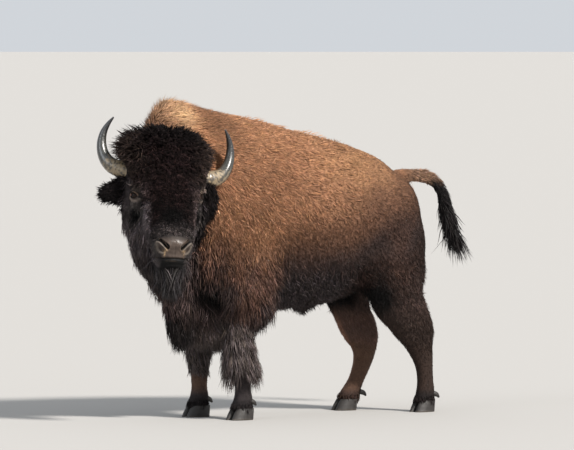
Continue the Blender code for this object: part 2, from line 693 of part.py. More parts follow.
def main():
    clear_scene()
    animal = bpy.data.collections.new("bison")
    cutters = bpy.data.collections.new("cutters")
    for c in (animal, cutters):
        bpy.context.scene.collection.children.link(c)

    body = fused_flesh(animal)
    ident = np.eye(3)
    parts = {}

    def part(name, *box):
        parts[name] = split_off(body, name, *box, animal, cutters)
        return parts[name]

    # the flat under every foot, where the claws begin
    boolean(body, box_cutter("ground", (0, 0, HOOF_TOP - 0.5), ident, (3, 3, 0.5), cutters), "DIFFERENCE")

    # head: in front of an upright plane through the nape, square to its facing
    head = part("head", hp(-0.0475, 0.165, -0.05), HA, (0.3725, 0.33, 0.62))
    parts["beard"] = split_off(head, "beard", face(0.47, -0.14) + np.array([0, 0, -0.42]) - FA[1] * 0.05,
                               head_axes(0), (0.19, 0.15, 0.37), animal, cutters)
    parts["muzzle"] = split_off(head, "muzzle", face(0.33 + 0.20, -0.095), np.array(
        [FA[0], face(1, 0) - face(0, 0), face(0, 1) - face(0, 0)]), (0.16, 0.20, 0.160), animal, cutters)
    parts["ear_r"] = split_off(head, "ear_r", hp(-0.215 - 0.15, -0.10, -0.02), HA, (0.15, 0.09, 0.085), animal, cutters)
    parts["ear_l"] = split_off(head, "ear_l", hp(0.218 + 0.07, -0.105, -0.03), HA, (0.07, 0.058, 0.13), animal, cutters)
    # legs, each parted again at the knee or the hock
    tilt = math.radians(24)
    leg_axes = np.array([[1, 0, 0], [0, math.cos(tilt), math.sin(tilt)], [0, -math.sin(tilt), math.cos(tilt)]])
    for side, sgn, y_fore, y_hind in (("l", 1, -0.44, 0.733), ("r", -1, -0.47, 0.713)):
        part("forefoot_" + side, (0.30 * sgn, y_fore, 0.11), ident, (0.225, 0.20, 0.13))
        part("foreleg_" + side, (0.30 * sgn, y_fore, 0.37), ident, (0.225, 0.175, 0.13 - GAP / 2))
        part("hindfoot_" + side, (0.30 * sgn, 0.62, 0.17), ident, (0.275, 0.45, 0.21))
        part("hindleg_" + side, (0.27 * sgn, y_hind, 0.481), leg_axes, (0.245, 0.36, 0.50))
    # tail and its switch
    tail = part("tail", (0.03, 1.075, 1.0), ident, (0.20, 0.29, 0.40))
    parts["tail_switch"] = split_off(tail, "tail_switch", (0.05, 1.0, 0.80), ident, (0.25, 0.30, 0.30), animal, cutters)
    # neck, then the trunk in three
    n_dir = np.array([0.30, -0.954, 0.0])
    part("neck", np.array([0.0, -0.80, 1.0]) + n_dir * 0.40, np.array([[0.954, 0.30, 0], n_dir, [0, 0, 1.0]]), (0.8, 0.40, 1.2))
    part("forequarter", (0, -0.28 - 0.6, 1.0), ident, (1.0, 0.6, 1.2))
    part("hindquarter", (0, 0.34 + 0.6, 1.0), ident, (1.0, 0.6, 1.2))
    parts["barrel"] = body
    body.name = "barrel"

    # horns and eyes, each seated in the head
    for side, sgn in (("l", 1), ("r", -1)):
        for kind, make in (("horn", horn), ("eye", eye)):
            hollow = seat(f"{kind}_seat_{side}", make(sgn), cutters)
            for flesh in (head, parts["ear_" + side]) if kind == "horn" else (head,):
                boolean(flesh, hollow, "DIFFERENCE")
                largest_body(flesh)
            parts[f"{kind}_{side}"] = new_object(f"{kind}_{side}", *make(sgn), animal)

    # claws and dewclaws
    legs = {"fore_l": "forefoot_l", "fore_r": "forefoot_r", "hind_l": "hindfoot_l", "hind_r": "hindfoot_r"}
    for foot, leg in legs.items():
        for label, sgn in (("out", 1 if foot.endswith("l") else -1), ("in", -1 if foot.endswith("l") else 1)):
            parts[f"hoof_{foot}_{label}"] = new_object(f"hoof_{foot}_{label}", *claw(foot, sgn), animal)
            hollow = seat(f"dew_seat_{foot}_{label}", dewclaw(foot, sgn), cutters)
            boolean(parts[leg], hollow, "DIFFERENCE")
            largest_body(parts[leg])
            parts[f"dewclaw_{foot}_{label}"] = new_object(f"dewclaw_{foot}_{label}", *dewclaw(foot, sgn), animal)

    slots = {"forequarter": "coat_tan", "barrel": "coat_tan", "neck": "coat_tan", "head": "coat_dark",
             "muzzle": "coat_dark", "beard": "coat_dark", "tail": "coat_brown", "tail_switch": "coat_dark"}
    for name, obj in parts.items():
        slot = slots.get(name) or (
            "horn" if name.startswith("horn") else
            "eye" if name.startswith("eye") else
            "hoof" if name.startswith(("hoof", "dewclaw")) else
            "coat_dark" if name.startswith(("ear", "fore")) else "coat_brown")
        obj.data.materials.clear()
        obj.data.materials.append(material(slot))
        obj.data.transform(Matrix.Scale(HUMP_HEIGHT / DRAWN_HEIGHT, 4) @ Matrix.Translation(-Vector(MIDDLE)))
        obj.data.shade_smooth()
        obj.data.set_sharp_from_angle(angle=math.radians(50))


main()
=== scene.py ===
"""The looks of a life-size standing American bison, a young adult bull in winter coat.

Everything is worked out in the same frame as the solids were drawn in: +X is the
animal's left, -Y forward, +Z up, ground at Z = 0, and scaled and centred at the
end. One skin is lofted and fused for all the flesh and set in by the coat's
depth, its colours come from named regions of the body, and the coat grows on it
as tufts and locks that follow the lie of the hair.
"""

import math

import bpy
import bmesh
import numpy as np
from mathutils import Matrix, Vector, kdtree


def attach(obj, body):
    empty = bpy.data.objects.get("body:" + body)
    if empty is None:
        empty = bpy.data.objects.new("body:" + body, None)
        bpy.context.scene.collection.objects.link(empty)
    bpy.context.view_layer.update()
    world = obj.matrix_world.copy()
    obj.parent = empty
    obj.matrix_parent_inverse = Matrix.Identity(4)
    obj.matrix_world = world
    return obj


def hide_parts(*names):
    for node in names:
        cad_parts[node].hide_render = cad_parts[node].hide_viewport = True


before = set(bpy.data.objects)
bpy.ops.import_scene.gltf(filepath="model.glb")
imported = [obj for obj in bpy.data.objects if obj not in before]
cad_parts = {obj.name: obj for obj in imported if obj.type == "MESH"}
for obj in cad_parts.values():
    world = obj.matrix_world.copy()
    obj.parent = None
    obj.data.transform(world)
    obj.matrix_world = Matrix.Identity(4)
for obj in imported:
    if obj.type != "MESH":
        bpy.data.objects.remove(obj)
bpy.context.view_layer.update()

# ---------------------------------------------------------------- main sizes
HUMP_HEIGHT = 1.600
DRAWN_HEIGHT = 1.6595
SCALE = HUMP_HEIGHT / DRAWN_HEIGHT
MIDDLE = np.array([0.1084, -0.0649, 0.0])
HOOF_TOP = 0.060
VOXEL = 0.013                # grain of the fused body, as in the solids
SKIN_VOXEL = 0.0142          # grain of the skin, finer on the head further down


def placed(v):
    """From the drawing's frame to the model's."""
    return (np.asarray(v, float) - MIDDLE) * SCALE


# head carriage
HEAD_EYE_MID = (0.296, -0.965, 1.174)  # midpoint between the eyes
HEAD_YAW = 68.0                        # turned to the animal's left, degrees
FACE_ROLL = 3.4                        # eyes and muzzle: left side a little lower
CROWN_ROLL = 6.6                       # horns, ears and bonnet: the left ones lower still
FACE_SLOPE = 60.0                      # forehead-to-nose line below level



# ---------------------------------------------------------------- small tools
def pchip(xs, ys, x):
    """Shape-preserving cubic through (xs, ys), ys one or more columns."""
    xs = np.asarray(xs, float)
    ys = np.asarray(ys, float)
    if ys.ndim == 1:
        ys = ys[:, None]
    h = np.diff(xs)[:, None]
    d = np.diff(ys, axis=0) / h
    m = np.zeros_like(ys)
    same = d[:-1] * d[1:] > 0
    w1, w2 = 2 * h[1:] + h[:-1], h[1:] + 2 * h[:-1]
    with np.errstate(divide="ignore", invalid="ignore"):
        inner = (w1 + w2) / (w1 / d[:-1] + w2 / d[1:])
    m[1:-1] = np.where(same, inner, 0)
    m[0], m[-1] = d[0], d[-1]
    i = np.clip(np.searchsorted(xs, x, side="right") - 1, 0, len(xs) - 2)
    t = ((x - xs[i]) / (xs[i + 1] - xs[i]))[:, None]
    hh = h[i]
    return (
        ys[i] * (1 + 2 * t) * (1 - t) ** 2
        + m[i] * hh * t * (1 - t) ** 2
        + ys[i + 1] * t * t * (3 - 2 * t)
        + m[i + 1] * hh * t * t * (t - 1)
    )


def spline(points, n):
    """n points and their chord parameters along a smooth curve through points."""
    p = np.asarray(points, float)
    s = np.concatenate([[0], np.cumsum(np.linalg.norm(np.diff(p[:, :3], axis=0), axis=1))])
    q = np.linspace(0, s[-1], n)
    # Catmull-Rom tangents on uneven chords
    m = np.gradient(p, s, axis=0)
    i = np.clip(np.searchsorted(s, q, side="right") - 1, 0, len(s) - 2)
    h = (s[i + 1] - s[i])[:, None]
    t = ((q - s[i])[:, None]) / h
    out = (
        p[i] * (1 + 2 * t) * (1 - t) ** 2
        + m[i] * h * t * (1 - t) ** 2
        + p[i + 1] * t * t * (3 - 2 * t)
        + m[i + 1] * h * t * t * (t - 1)
    )
    return out


def ring_mesh(rings):
    """Closed mesh from a stack of rings, each end closed by a fan."""
    rings = np.asarray(rings, float)
    m, n, _ = rings.shape
    verts = list(rings.reshape(-1, 3))
    faces = []
    for i in range(m - 1):
        for j in range(n):
            k = (j + 1) % n
            faces.append((i * n + j, i * n + k, (i + 1) * n + k))
            faces.append((i * n + j, (i + 1) * n + k, (i + 1) * n + j))
    a, b = len(verts), len(verts) + 1
    verts += [rings[0].mean(0), rings[-1].mean(0)]
    for j in range(n):
        k = (j + 1) % n
        faces.append((a, k, j))
        faces.append((b, (m - 1) * n + j, (m - 1) * n + k))
    return np.array(verts), faces


def tube(stations, side, n=28, steps=None):
    """Loft along stations (x, y, z, half-width, front, back[, squareness]).

    side is the direction of the half-width. front lies along tangent x side,
    so on a leg that runs down with side +X it points forward.
    """
    st = np.array([tuple(s) + ((2.0,) if len(s) == 6 else ()) for s in stations], float)
    steps = steps or 6 * len(st)
    q = spline(st, steps)
    t = np.gradient(q[:, :3], axis=0)
    t /= np.linalg.norm(t, axis=1)[:, None]
    side = np.broadcast_to(np.asarray(side, float), t.shape)
    s = side - (side * t).sum(1)[:, None] * t
    s /= np.linalg.norm(s, axis=1)[:, None]
    b = np.cross(t, s)
    a = np.linspace(0, 2 * math.pi, n, endpoint=False)
    c, d = np.cos(a), np.sin(a)
    rings = []
    for k in range(len(q)):
        e = 2.0 / q[k, 6]
        cx = np.sign(c) * np.abs(c) ** e * q[k, 3]
        dx = np.sign(d) * np.abs(d) ** e * np.where(d > 0, q[k, 4], q[k, 5])
        rings.append(q[k, :3] + cx[:, None] * s[k] + dx[:, None] * b[k])
    return ring_mesh(rings)


def ellipsoid(centre, radii, axes=None, n=20, m=14):
    u = np.linspace(0, 2 * math.pi, n, endpoint=False)
    rings = []
    for v in np.linspace(-math.pi / 2, math.pi / 2, m + 2)[1:-1]:
        rings.append(
            np.stack([np.cos(v) * np.cos(u), np.cos(v) * np.sin(u), np.full(n, math.sin(v))], 1)
        )
    p = np.array(rings) * np.asarray(radii, float)
    if axes is not None:
        p = p @ np.asarray(axes, float)
    return ring_mesh(p + np.asarray(centre, float))


# ---------------------------------------------------------------- head frame
def head_axes(roll):
    """Rows: left, forward (level), up, after yaw and roll."""
    y, r = math.radians(HEAD_YAW), math.radians(roll)
    fwd = np.array([math.sin(y), -math.cos(y), 0.0])
    left0 = np.array([math.cos(y), math.sin(y), 0.0])
    up0 = np.array([0, 0, 1.0])
    left = left0 * math.cos(r) - up0 * math.sin(r)
    up = up0 * math.cos(r) + left0 * math.sin(r)
    return np.array([left, fwd, up])


HA = head_axes(CROWN_ROLL)
FA = head_axes(FACE_ROLL)
EYE = np.array(HEAD_EYE_MID)


def hp(lat, fwd, up):
    """A point of the crown: left of its mid-plane, ahead of and above the eyes."""
    return EYE + np.array([lat, fwd, up]) @ HA


def fp(lat, fwd, up):
    """The same for the face."""
    return EYE + np.array([lat, fwd, up]) @ FA


SLOPE = math.radians(FACE_SLOPE)
FACE_TOP = (0.02, 0.18)       # forehead's top, ahead of and above the eyes


def face(t, n, lat=0.0):
    """A point t along the face line from the forehead's top, n proud of it."""
    f = FACE_TOP[0] + math.cos(SLOPE) * t + math.sin(SLOPE) * n
    u = FACE_TOP[1] - math.sin(SLOPE) * t + math.cos(SLOPE) * n
    return fp(lat, f, u)


# ---------------------------------------------------------------- the body
# y, top, bottom, half-width, height of that width, upper and lower squareness
TRUNK = [
    (-0.912, 1.440, 1.080, 0.050, 1.22, 1.9, 2.0),
    (-0.900, 1.520, 0.940, 0.110, 1.18, 1.8, 2.0),
    (-0.878, 1.578, 0.880, 0.155, 1.12, 1.7, 2.0),
    (-0.840, 1.640, 0.790, 0.190, 1.08, 1.6, 2.0),
    (-0.783, 1.672, 0.690, 0.220, 1.04, 1.55, 2.0),
    (-0.700, 1.660, 0.530, 0.256, 1.00, 1.55, 2.0),
    (-0.600, 1.633, 0.410, 0.294, 0.97, 1.6, 2.1),
    (-0.450, 1.601, 0.400, 0.325, 0.95, 1.7, 2.1),
    (-0.316, 1.577, 0.460, 0.332, 0.94, 1.75, 2.1),
    (-0.150, 1.540, 0.508, 0.336, 0.94, 1.8, 2.1),
    (0.000, 1.496, 0.524, 0.336, 0.95, 1.85, 2.1),
    (0.150, 1.465, 0.542, 0.330, 0.97, 1.9, 2.1),
    (0.300, 1.430, 0.600, 0.316, 1.00, 1.9, 2.1),
    (0.417, 1.393, 0.650, 0.302, 1.02, 1.9, 2.1),
    (0.514, 1.358, 0.690, 0.286, 1.03, 1.9, 2.1),
    (0.598, 1.298, 0.720, 0.262, 1.03, 1.9, 2.1),
    (0.660, 1.266, 0.740, 0.232, 1.02, 1.9, 2.0),
    (0.715, 1.234, 0.770, 0.190, 1.00, 2.0, 2.0),
    (0.755, 1.180, 0.810, 0.140, 0.98, 2.0, 2.0),
    (0.782, 1.090, 0.870, 0.080, 0.97, 2.0, 2.0),
]


def trunk():
    st = np.array(TRUNK)
    y = np.linspace(st[0, 0], st[-1, 0], 70)
    v = pchip(st[:, 0], st[:, 1:], y)
    a = np.linspace(0, 2 * math.pi, 40, endpoint=False)
    c, s = np.cos(a), np.sin(a)
    rings = []
    for k in range(len(y)):
        top, bot, w, zw, et, eb = v[k]
        e = 2.0 / np.where(s > 0, et, eb)
        x = w * np.sign(c) * np.abs(c) ** e
        z = zw + np.where(s > 0, top - zw, zw - bot) * np.sign(s) * np.abs(s) ** e
        rings.append(np.stack([x, np.full_like(x, y[k]), z], 1))
    return ring_mesh(rings)


NECK = [
    (0.000, -0.60, 1.08, 0.22, 0.46, 0.46),
    (0.008, -0.72, 1.08, 0.205, 0.42, 0.38),
    (0.032, -0.82, 1.10, 0.180, 0.37, 0.30),
    (0.066, -0.89, 1.12, 0.165, 0.31, 0.26),
    (0.112, -0.94, 1.14, 0.16, 0.25, 0.24),
]

LEFT_HIND = [   # x, y, z, half-width, front, back
    (0.135, 0.50, 1.10, 0.120, 0.20, 0.20),
    (0.150, 0.51, 0.95, 0.125, 0.22, 0.215),
    (0.160, 0.52, 0.82, 0.120, 0.215, 0.225),
    (0.168, 0.535, 0.71, 0.108, 0.19, 0.215),
    (0.172, 0.568, 0.60, 0.090, 0.165, 0.178),
    (0.174, 0.625, 0.515, 0.074, 0.135, 0.142),
    (0.175, 0.668, 0.450, 0.065, 0.124, 0.130),
    (0.176, 0.693, 0.395, 0.059, 0.106, 0.112),
    (0.177, 0.708, 0.345, 0.054, 0.084, 0.086),
    (0.177, 0.728, 0.280, 0.048, 0.064, 0.067),
    (0.177, 0.741, 0.211, 0.043, 0.053, 0.055),
    (0.176, 0.745, 0.150, 0.043, 0.052, 0.054),
    (0.175, 0.746, 0.105, 0.050, 0.056, 0.060),
    (0.174, 0.740, 0.070, 0.052, 0.058, 0.058),
    (0.172, 0.732, 0.045, 0.054, 0.060, 0.056),
]
RIGHT_HIND = [
    (-0.135, 0.48, 1.10, 0.120, 0.20, 0.22),
    (-0.150, 0.48, 0.95, 0.125, 0.22, 0.215),
    (-0.160, 0.465, 0.82, 0.120, 0.205, 0.215),
    (-0.168, 0.460, 0.71, 0.105, 0.170, 0.200),
    (-0.171, 0.485, 0.60, 0.086, 0.135, 0.152),
    (-0.172, 0.528, 0.50, 0.068, 0.115, 0.118),
    (-0.172, 0.568, 0.425, 0.061, 0.108, 0.116),
    (-0.172, 0.592, 0.365, 0.055, 0.092, 0.098),
    (-0.172, 0.597, 0.310, 0.050, 0.074, 0.078),
    (-0.172, 0.587, 0.255, 0.045, 0.060, 0.064),
    (-0.172, 0.566, 0.200, 0.042, 0.052, 0.054),
    (-0.172, 0.539, 0.145, 0.042, 0.049, 0.051),
    (-0.171, 0.517, 0.105, 0.049, 0.054, 0.058),
    (-0.170, 0.492, 0.070, 0.052, 0.057, 0.057),
    (-0.170, 0.474, 0.045, 0.054, 0.058, 0.056),
]
LEFT_FORE = [
    (0.150, -0.52, 0.95, 0.13, 0.19, 0.20),
    (0.172, -0.50, 0.78, 0.135, 0.18, 0.20),
    (0.182, -0.475, 0.62, 0.128, 0.155, 0.175),
    (0.182, -0.455, 0.50, 0.115, 0.128, 0.140),
    (0.178, -0.445, 0.40, 0.098, 0.114, 0.096),
    (0.175, -0.436, 0.32, 0.098, 0.116, 0.108),
    (0.173, -0.428, 0.262, 0.096, 0.112, 0.116),
    (0.171, -0.420, 0.222, 0.060, 0.068, 0.070),
    (0.170, -0.418, 0.190, 0.048, 0.050, 0.053),
    (0.170, -0.416, 0.150, 0.046, 0.047, 0.050),
    (0.170, -0.415, 0.105, 0.054, 0.054, 0.058),
    (0.170, -0.422, 0.070, 0.057, 0.060, 0.056),
    (0.170, -0.430, 0.045, 0.058, 0.062, 0.054),
]
RIGHT_FORE = [
    (-0.150, -0.54, 0.95, 0.13, 0.19, 0.20),
    (-0.170, -0.52, 0.78, 0.135, 0.175, 0.20),
    (-0.178, -0.495, 0.62, 0.125, 0.145, 0.175),
    (-0.178, -0.478, 0.50, 0.108, 0.115, 0.135),
    (-0.175, -0.468, 0.40, 0.092, 0.098, 0.108),
    (-0.173, -0.462, 0.33, 0.080, 0.084, 0.094),
    (-0.171, -0.459, 0.265, 0.062, 0.064, 0.072),
    (-0.170, -0.458, 0.215, 0.048, 0.050, 0.054),
    (-0.170, -0.458, 0.150, 0.045, 0.046, 0.050),
    (-0.170, -0.457, 0.105, 0.054, 0.054, 0.058),
    (-0.170, -0.464, 0.070, 0.057, 0.060, 0.056),
    (-0.170, -0.472, 0.045, 0.058, 0.062, 0.054),
]
# the bony tail and its switch of long hair: x, y, z, half-width, upper, lower
TAIL = [
    (0.000, 0.660, 1.225, 0.055, 0.050, 0.055),
    (0.003, 0.725, 1.243, 0.038, 0.034, 0.037),
    (0.010, 0.785, 1.245, 0.029, 0.031, 0.029),
    (0.020, 0.842, 1.235, 0.026, 0.031, 0.025),
    (0.032, 0.892, 1.204, 0.026, 0.032, 0.025),
    (0.042, 0.930, 1.150, 0.028, 0.034, 0.026),
    (0.050, 0.958, 1.075, 0.033, 0.036, 0.030),
    (0.058, 0.985, 1.000, 0.043, 0.044, 0.036),
    (0.066, 1.020, 0.930, 0.050, 0.052, 0.042),
    (0.076, 1.056, 0.868, 0.050, 0.052, 0.044),
    (0.086, 1.088, 0.812, 0.038, 0.038, 0.036),
    (0.092, 1.106, 0.770, 0.018, 0.018, 0.018),
]

# head rings: t along the face, half-width, top and bottom off the face line
HEAD = [
    (-0.130, 0.090, 0.000, -0.240, 2.0),
    (-0.090, 0.150, 0.030, -0.290, 2.0),
    (-0.030, 0.172, 0.048, -0.315, 2.1),
    (0.040, 0.176, 0.052, -0.325, 2.2),
    (0.100, 0.172, 0.052, -0.330, 2.3),
    (0.150, 0.166, 0.048, -0.325, 2.3),
    (0.220, 0.150, 0.042, -0.310, 2.3),
    (0.300, 0.132, 0.036, -0.280, 2.3),
    (0.380, 0.118, 0.030, -0.250, 2.4),
    (0.430, 0.114, 0.028, -0.230, 2.5),
    (0.470, 0.113, 0.014, -0.216, 2.6),
    (0.505, 0.110, -0.014, -0.208, 2.6),
    (0.540, 0.102, -0.046, -0.198, 2.5),
    (0.566, 0.080, -0.070, -0.182, 2.3),
    (0.578, 0.044, -0.100, -0.155, 2.0),
]


def head_core():
    st = np.array(HEAD)
    t = np.linspace(st[0, 0], st[-1, 0], 44)
    v = pchip(st[:, 0], st[:, 1:], t)
    a = np.linspace(0, 2 * math.pi, 32, endpoint=False)
    c, s = np.cos(a), np.sin(a)
    rings = []
    for k in range(len(t)):
        w, top, bot, e = v[k]
        mid, half = (top + bot) / 2, (top - bot) / 2
        e = 2.0 / e
        lat = w * np.sign(c) * np.abs(c) ** e
        n = mid + half * np.sign(s) * np.abs(s) ** e
        rings.append([face(t[k], n[j], lat[j]) for j in range(len(a))])
    return ring_mesh(rings)


# horn: lateral, forward, up, radius, for the left side
HORN = [
    (0.125, -0.080, 0.100, 0.047),
    (0.180, -0.088, 0.097, 0.047),
    (0.230, -0.100, 0.098, 0.045),
    (0.273, -0.118, 0.110, 0.0405),
    (0.308, -0.140, 0.140, 0.0345),
    (0.329, -0.156, 0.182, 0.0285),
    (0.336, -0.166, 0.230, 0.0235),
    (0.330, -0.166, 0.280, 0.0175),
    (0.313, -0.158, 0.323, 0.0110),
    (0.292, -0.147, 0.358, 0.0040),
]


FEET = {   # name: x, y of the foot's middle, toe's turn outwards in degrees
    "fore_l": (0.170, -0.437, 4),
    "fore_r": (-0.170, -0.479, -4),
    "hind_l": (0.172, 0.727, 6),
    "hind_r": (-0.170, 0.467, -6),
}
CLAW_LENGTH, CLAW_WIDTH = 0.134, 0.054



# ---------------------------------------------------------------- numbers
def smooth(x, a, b):
    """0 below a, 1 above b (or the other way round), smooth between."""
    t = np.clip((x - a) / (b - a), 0, 1)
    return t * t * (3 - 2 * t)


def bell(x, centre, width):
    return np.exp(-(((x - centre) / width) ** 2))


def unit(v):
    return v / np.maximum(np.linalg.norm(v, axis=-1, keepdims=True), 1e-12)


def dots(a, b):
    return (a * b).sum(-1)


def noise(p, size, seed=0):
    """Smooth noise from -1 to 1 with that grain, the same on every run."""
    q = np.asarray(p, float) / size + 31.7 * (seed + 1)
    i = np.floor(q).astype(np.int64)
    f = q - i
    f = f * f * (3 - 2 * f)
    out = np.zeros(len(q))
    for k in range(8):
        d = np.array([k & 1, (k >> 1) & 1, k >> 2])
        j = i + d
        h = (j[:, 0] * 73856093) ^ (j[:, 1] * 19349663) ^ (j[:, 2] * 83492791) ^ (seed * 2654435761)
        h = (h ^ (h >> 13)) * 1274126177
        h = ((h ^ (h >> 16)) & 0xFFFFFF) / float(0xFFFFFF)
        out += h * np.prod(np.where(d, f, 1 - f), axis=1)
    return out * 2 - 1


def rough_noise(p, size, seed=0, octaves=3):
    out = np.zeros(len(p))
    for k in range(octaves):
        out += noise(p, size / 2**k, seed + 7 * k) / 2**k
    return out / (2 - 2.0 ** (1 - octaves))


def crown_of(p):
    """left, ahead, above, from the eyes' middle, square to the horns."""
    q = (p - EYE) @ HA.T
    return q[:, 0], q[:, 1], q[:, 2]


def face_of(p):
    """t down the face line, n proud of it, left of it, and the height above the eyes."""
    q = (p - EYE) @ FA.T
    a, u = q[:, 1] - FACE_TOP[0], q[:, 2] - FACE_TOP[1]
    c, s = math.cos(SLOPE), math.sin(SLOPE)
    return c * a - s * u, s * a + c * u, q[:, 0], q[:, 2]


# ---------------------------------------------------------------- meshes
def mesh_object(name, verts, faces, smooth_faces=True):
    verts = np.asarray(verts, np.float32)
    faces = np.asarray(faces, np.int32)
    mesh = bpy.data.meshes.new(name)
    mesh.vertices.add(len(verts))
    mesh.vertices.foreach_set("co", verts.ravel())
    k = faces.shape[1]
    mesh.loops.add(faces.size)
    mesh.loops.foreach_set("vertex_index", faces.ravel())
    mesh.polygons.add(len(faces))
    mesh.polygons.foreach_set("loop_start", np.arange(0, faces.size, k, dtype=np.int32))
    mesh.update(calc_edges=True)
    if smooth_faces:
        mesh.shade_smooth()
    obj = bpy.data.objects.new(name, mesh)
    bpy.context.scene.collection.objects.link(obj)
    return obj


def arrays_of(mesh):
    mesh.calc_loop_triangles()
    v = np.empty(len(mesh.vertices) * 3, np.float32)
    mesh.vertices.foreach_get("co", v)
    f = np.empty(len(mesh.loop_triangles) * 3, np.int32)
    mesh.loop_triangles.foreach_get("vertices", f)
    return v.reshape(-1, 3).astype(float), f.reshape(-1, 3)


def joined(pieces):
    verts, faces, base = [], [], 0
    for v, f in pieces:
        verts.append(np.asarray(v, float))
        faces.append(np.asarray(f, int) + base)
        base += len(v)
    return np.concatenate(verts), np.concatenate(faces)


def outward(v, f):
    """Turns a closed piece's faces outwards."""
    f = np.asarray(f, int)
    a, b, c = v[f[:, 0]], v[f[:, 1]], v[f[:, 2]]
    return (v, f) if dots(a, np.cross(b, c)).sum() > 0 else (v, f[:, ::-1])


def fuse(pieces, voxel, smoothing):
    """Overlapping closed shapes as one skin, its creases rounded."""
    obj = mesh_object("fusing", *joined([outward(*p) for p in pieces]), smooth_faces=False)
    m = obj.modifiers.new("remesh", "REMESH")
    m.mode, m.voxel_size, m.use_smooth_shade = "VOXEL", voxel, False
    m = obj.modifiers.new("smooth", "SMOOTH")
    m.factor, m.iterations = 0.5, smoothing
    bpy.context.view_layer.update()
    done = bpy.data.meshes.new_from_object(obj.evaluated_get(bpy.context.evaluated_depsgraph_get()))
    v, f = arrays_of(done)
    old = obj.data
    bpy.data.objects.remove(obj, do_unlink=True)
    for mesh in (old, done):
        bpy.data.meshes.remove(mesh)
    return v, f


def normals_of(v, f):
    a, b, c = v[f[:, 0]], v[f[:, 1]], v[f[:, 2]]
    n = np.cross(b - a, c - a)
    out = np.zeros_like(v)
    for axis in range(3):
        for k in range(3):
            out[:, axis] += np.bincount(f[:, k], n[:, axis], len(v))
    return unit(out)


def relaxed(v, f, weight, times, step=0.5):
    """Smooths the points by their neighbours, where weight isn't 0."""
    e = np.unique(np.sort(np.concatenate([f[:, :2], f[:, 1:], f[:, ::2]]), axis=1), axis=0)
    count = np.bincount(e.ravel(), minlength=len(v))[:, None]
    for _ in range(times):
        total = np.stack([
            np.bincount(e[:, 0], v[e[:, 1], k], len(v)) + np.bincount(e[:, 1], v[e[:, 0], k], len(v))
            for k in range(3)], 1)
        v = v + (total / count - v) * (step * weight)[:, None]
    return v


def refined(v, f, wanted):
    """Splits in four the triangles whose points are all wanted, and fits the ones beside them."""
    edges = np.sort(np.stack([f, np.roll(f, -1, axis=1)], -1), axis=2)   # (F, 3, 2)
    keys = edges[..., 0].astype(np.int64) * len(v) + edges[..., 1]
    split = wanted[edges[..., 0]] & wanted[edges[..., 1]]
    uniq, index = np.unique(keys[split], return_inverse=True)
    new = len(v) + index
    mid = np.full(keys.shape, -1)
    mid[split] = new
    points = (v[uniq // len(v)] + v[uniq % len(v)]) / 2
    v = np.concatenate([v, points])
    how = split.sum(1)
    out = [f[how == 0]]
    all3 = how == 3
    a, b, c = f[all3].T
    m0, m1, m2 = mid[all3].T
    out += [np.stack(q, 1) for q in ((a, m0, m2), (m0, b, m1), (m2, m1, c), (m0, m1, m2))]
    for k in range(3):
        one = (how == 1) & split[:, k]
        a, b, c = f[one][:, k], f[one][:, (k + 1) % 3], f[one][:, (k + 2) % 3]
        m0 = mid[one][:, k]
        out += [np.stack((a, m0, c), 1), np.stack((m0, b, c), 1)]
        two = (how == 2) & ~split[:, k]          # the side k is whole
        a, b, c = f[two][:, k], f[two][:, (k + 1) % 3], f[two][:, (k + 2) % 3]
        m1, m2 = mid[two][:, (k + 1) % 3], mid[two][:, (k + 2) % 3]
        out += [np.stack((a, b, m1), 1), np.stack((a, m1, m2), 1), np.stack((m2, m1, c), 1)]
    return v, np.concatenate(out)


# ---------------------------------------------------------------- the skin
def slim(table, shrink):
    """A limb's stations with the long hair taken off: shrink(z) scales the widths."""
    return [(x, y, z) + tuple(k * shrink(z) for k in rest) for x, y, z, *rest in table]


def under_hair(low, high, k):
    """Shrinks a limb by k between two heights, easing in and out."""
    def f(z):
        return 1 - (1 - k) * float(smooth(z, low - 0.03, low + 0.02) * (1 - smooth(z, high, high + 0.12)))
    return f


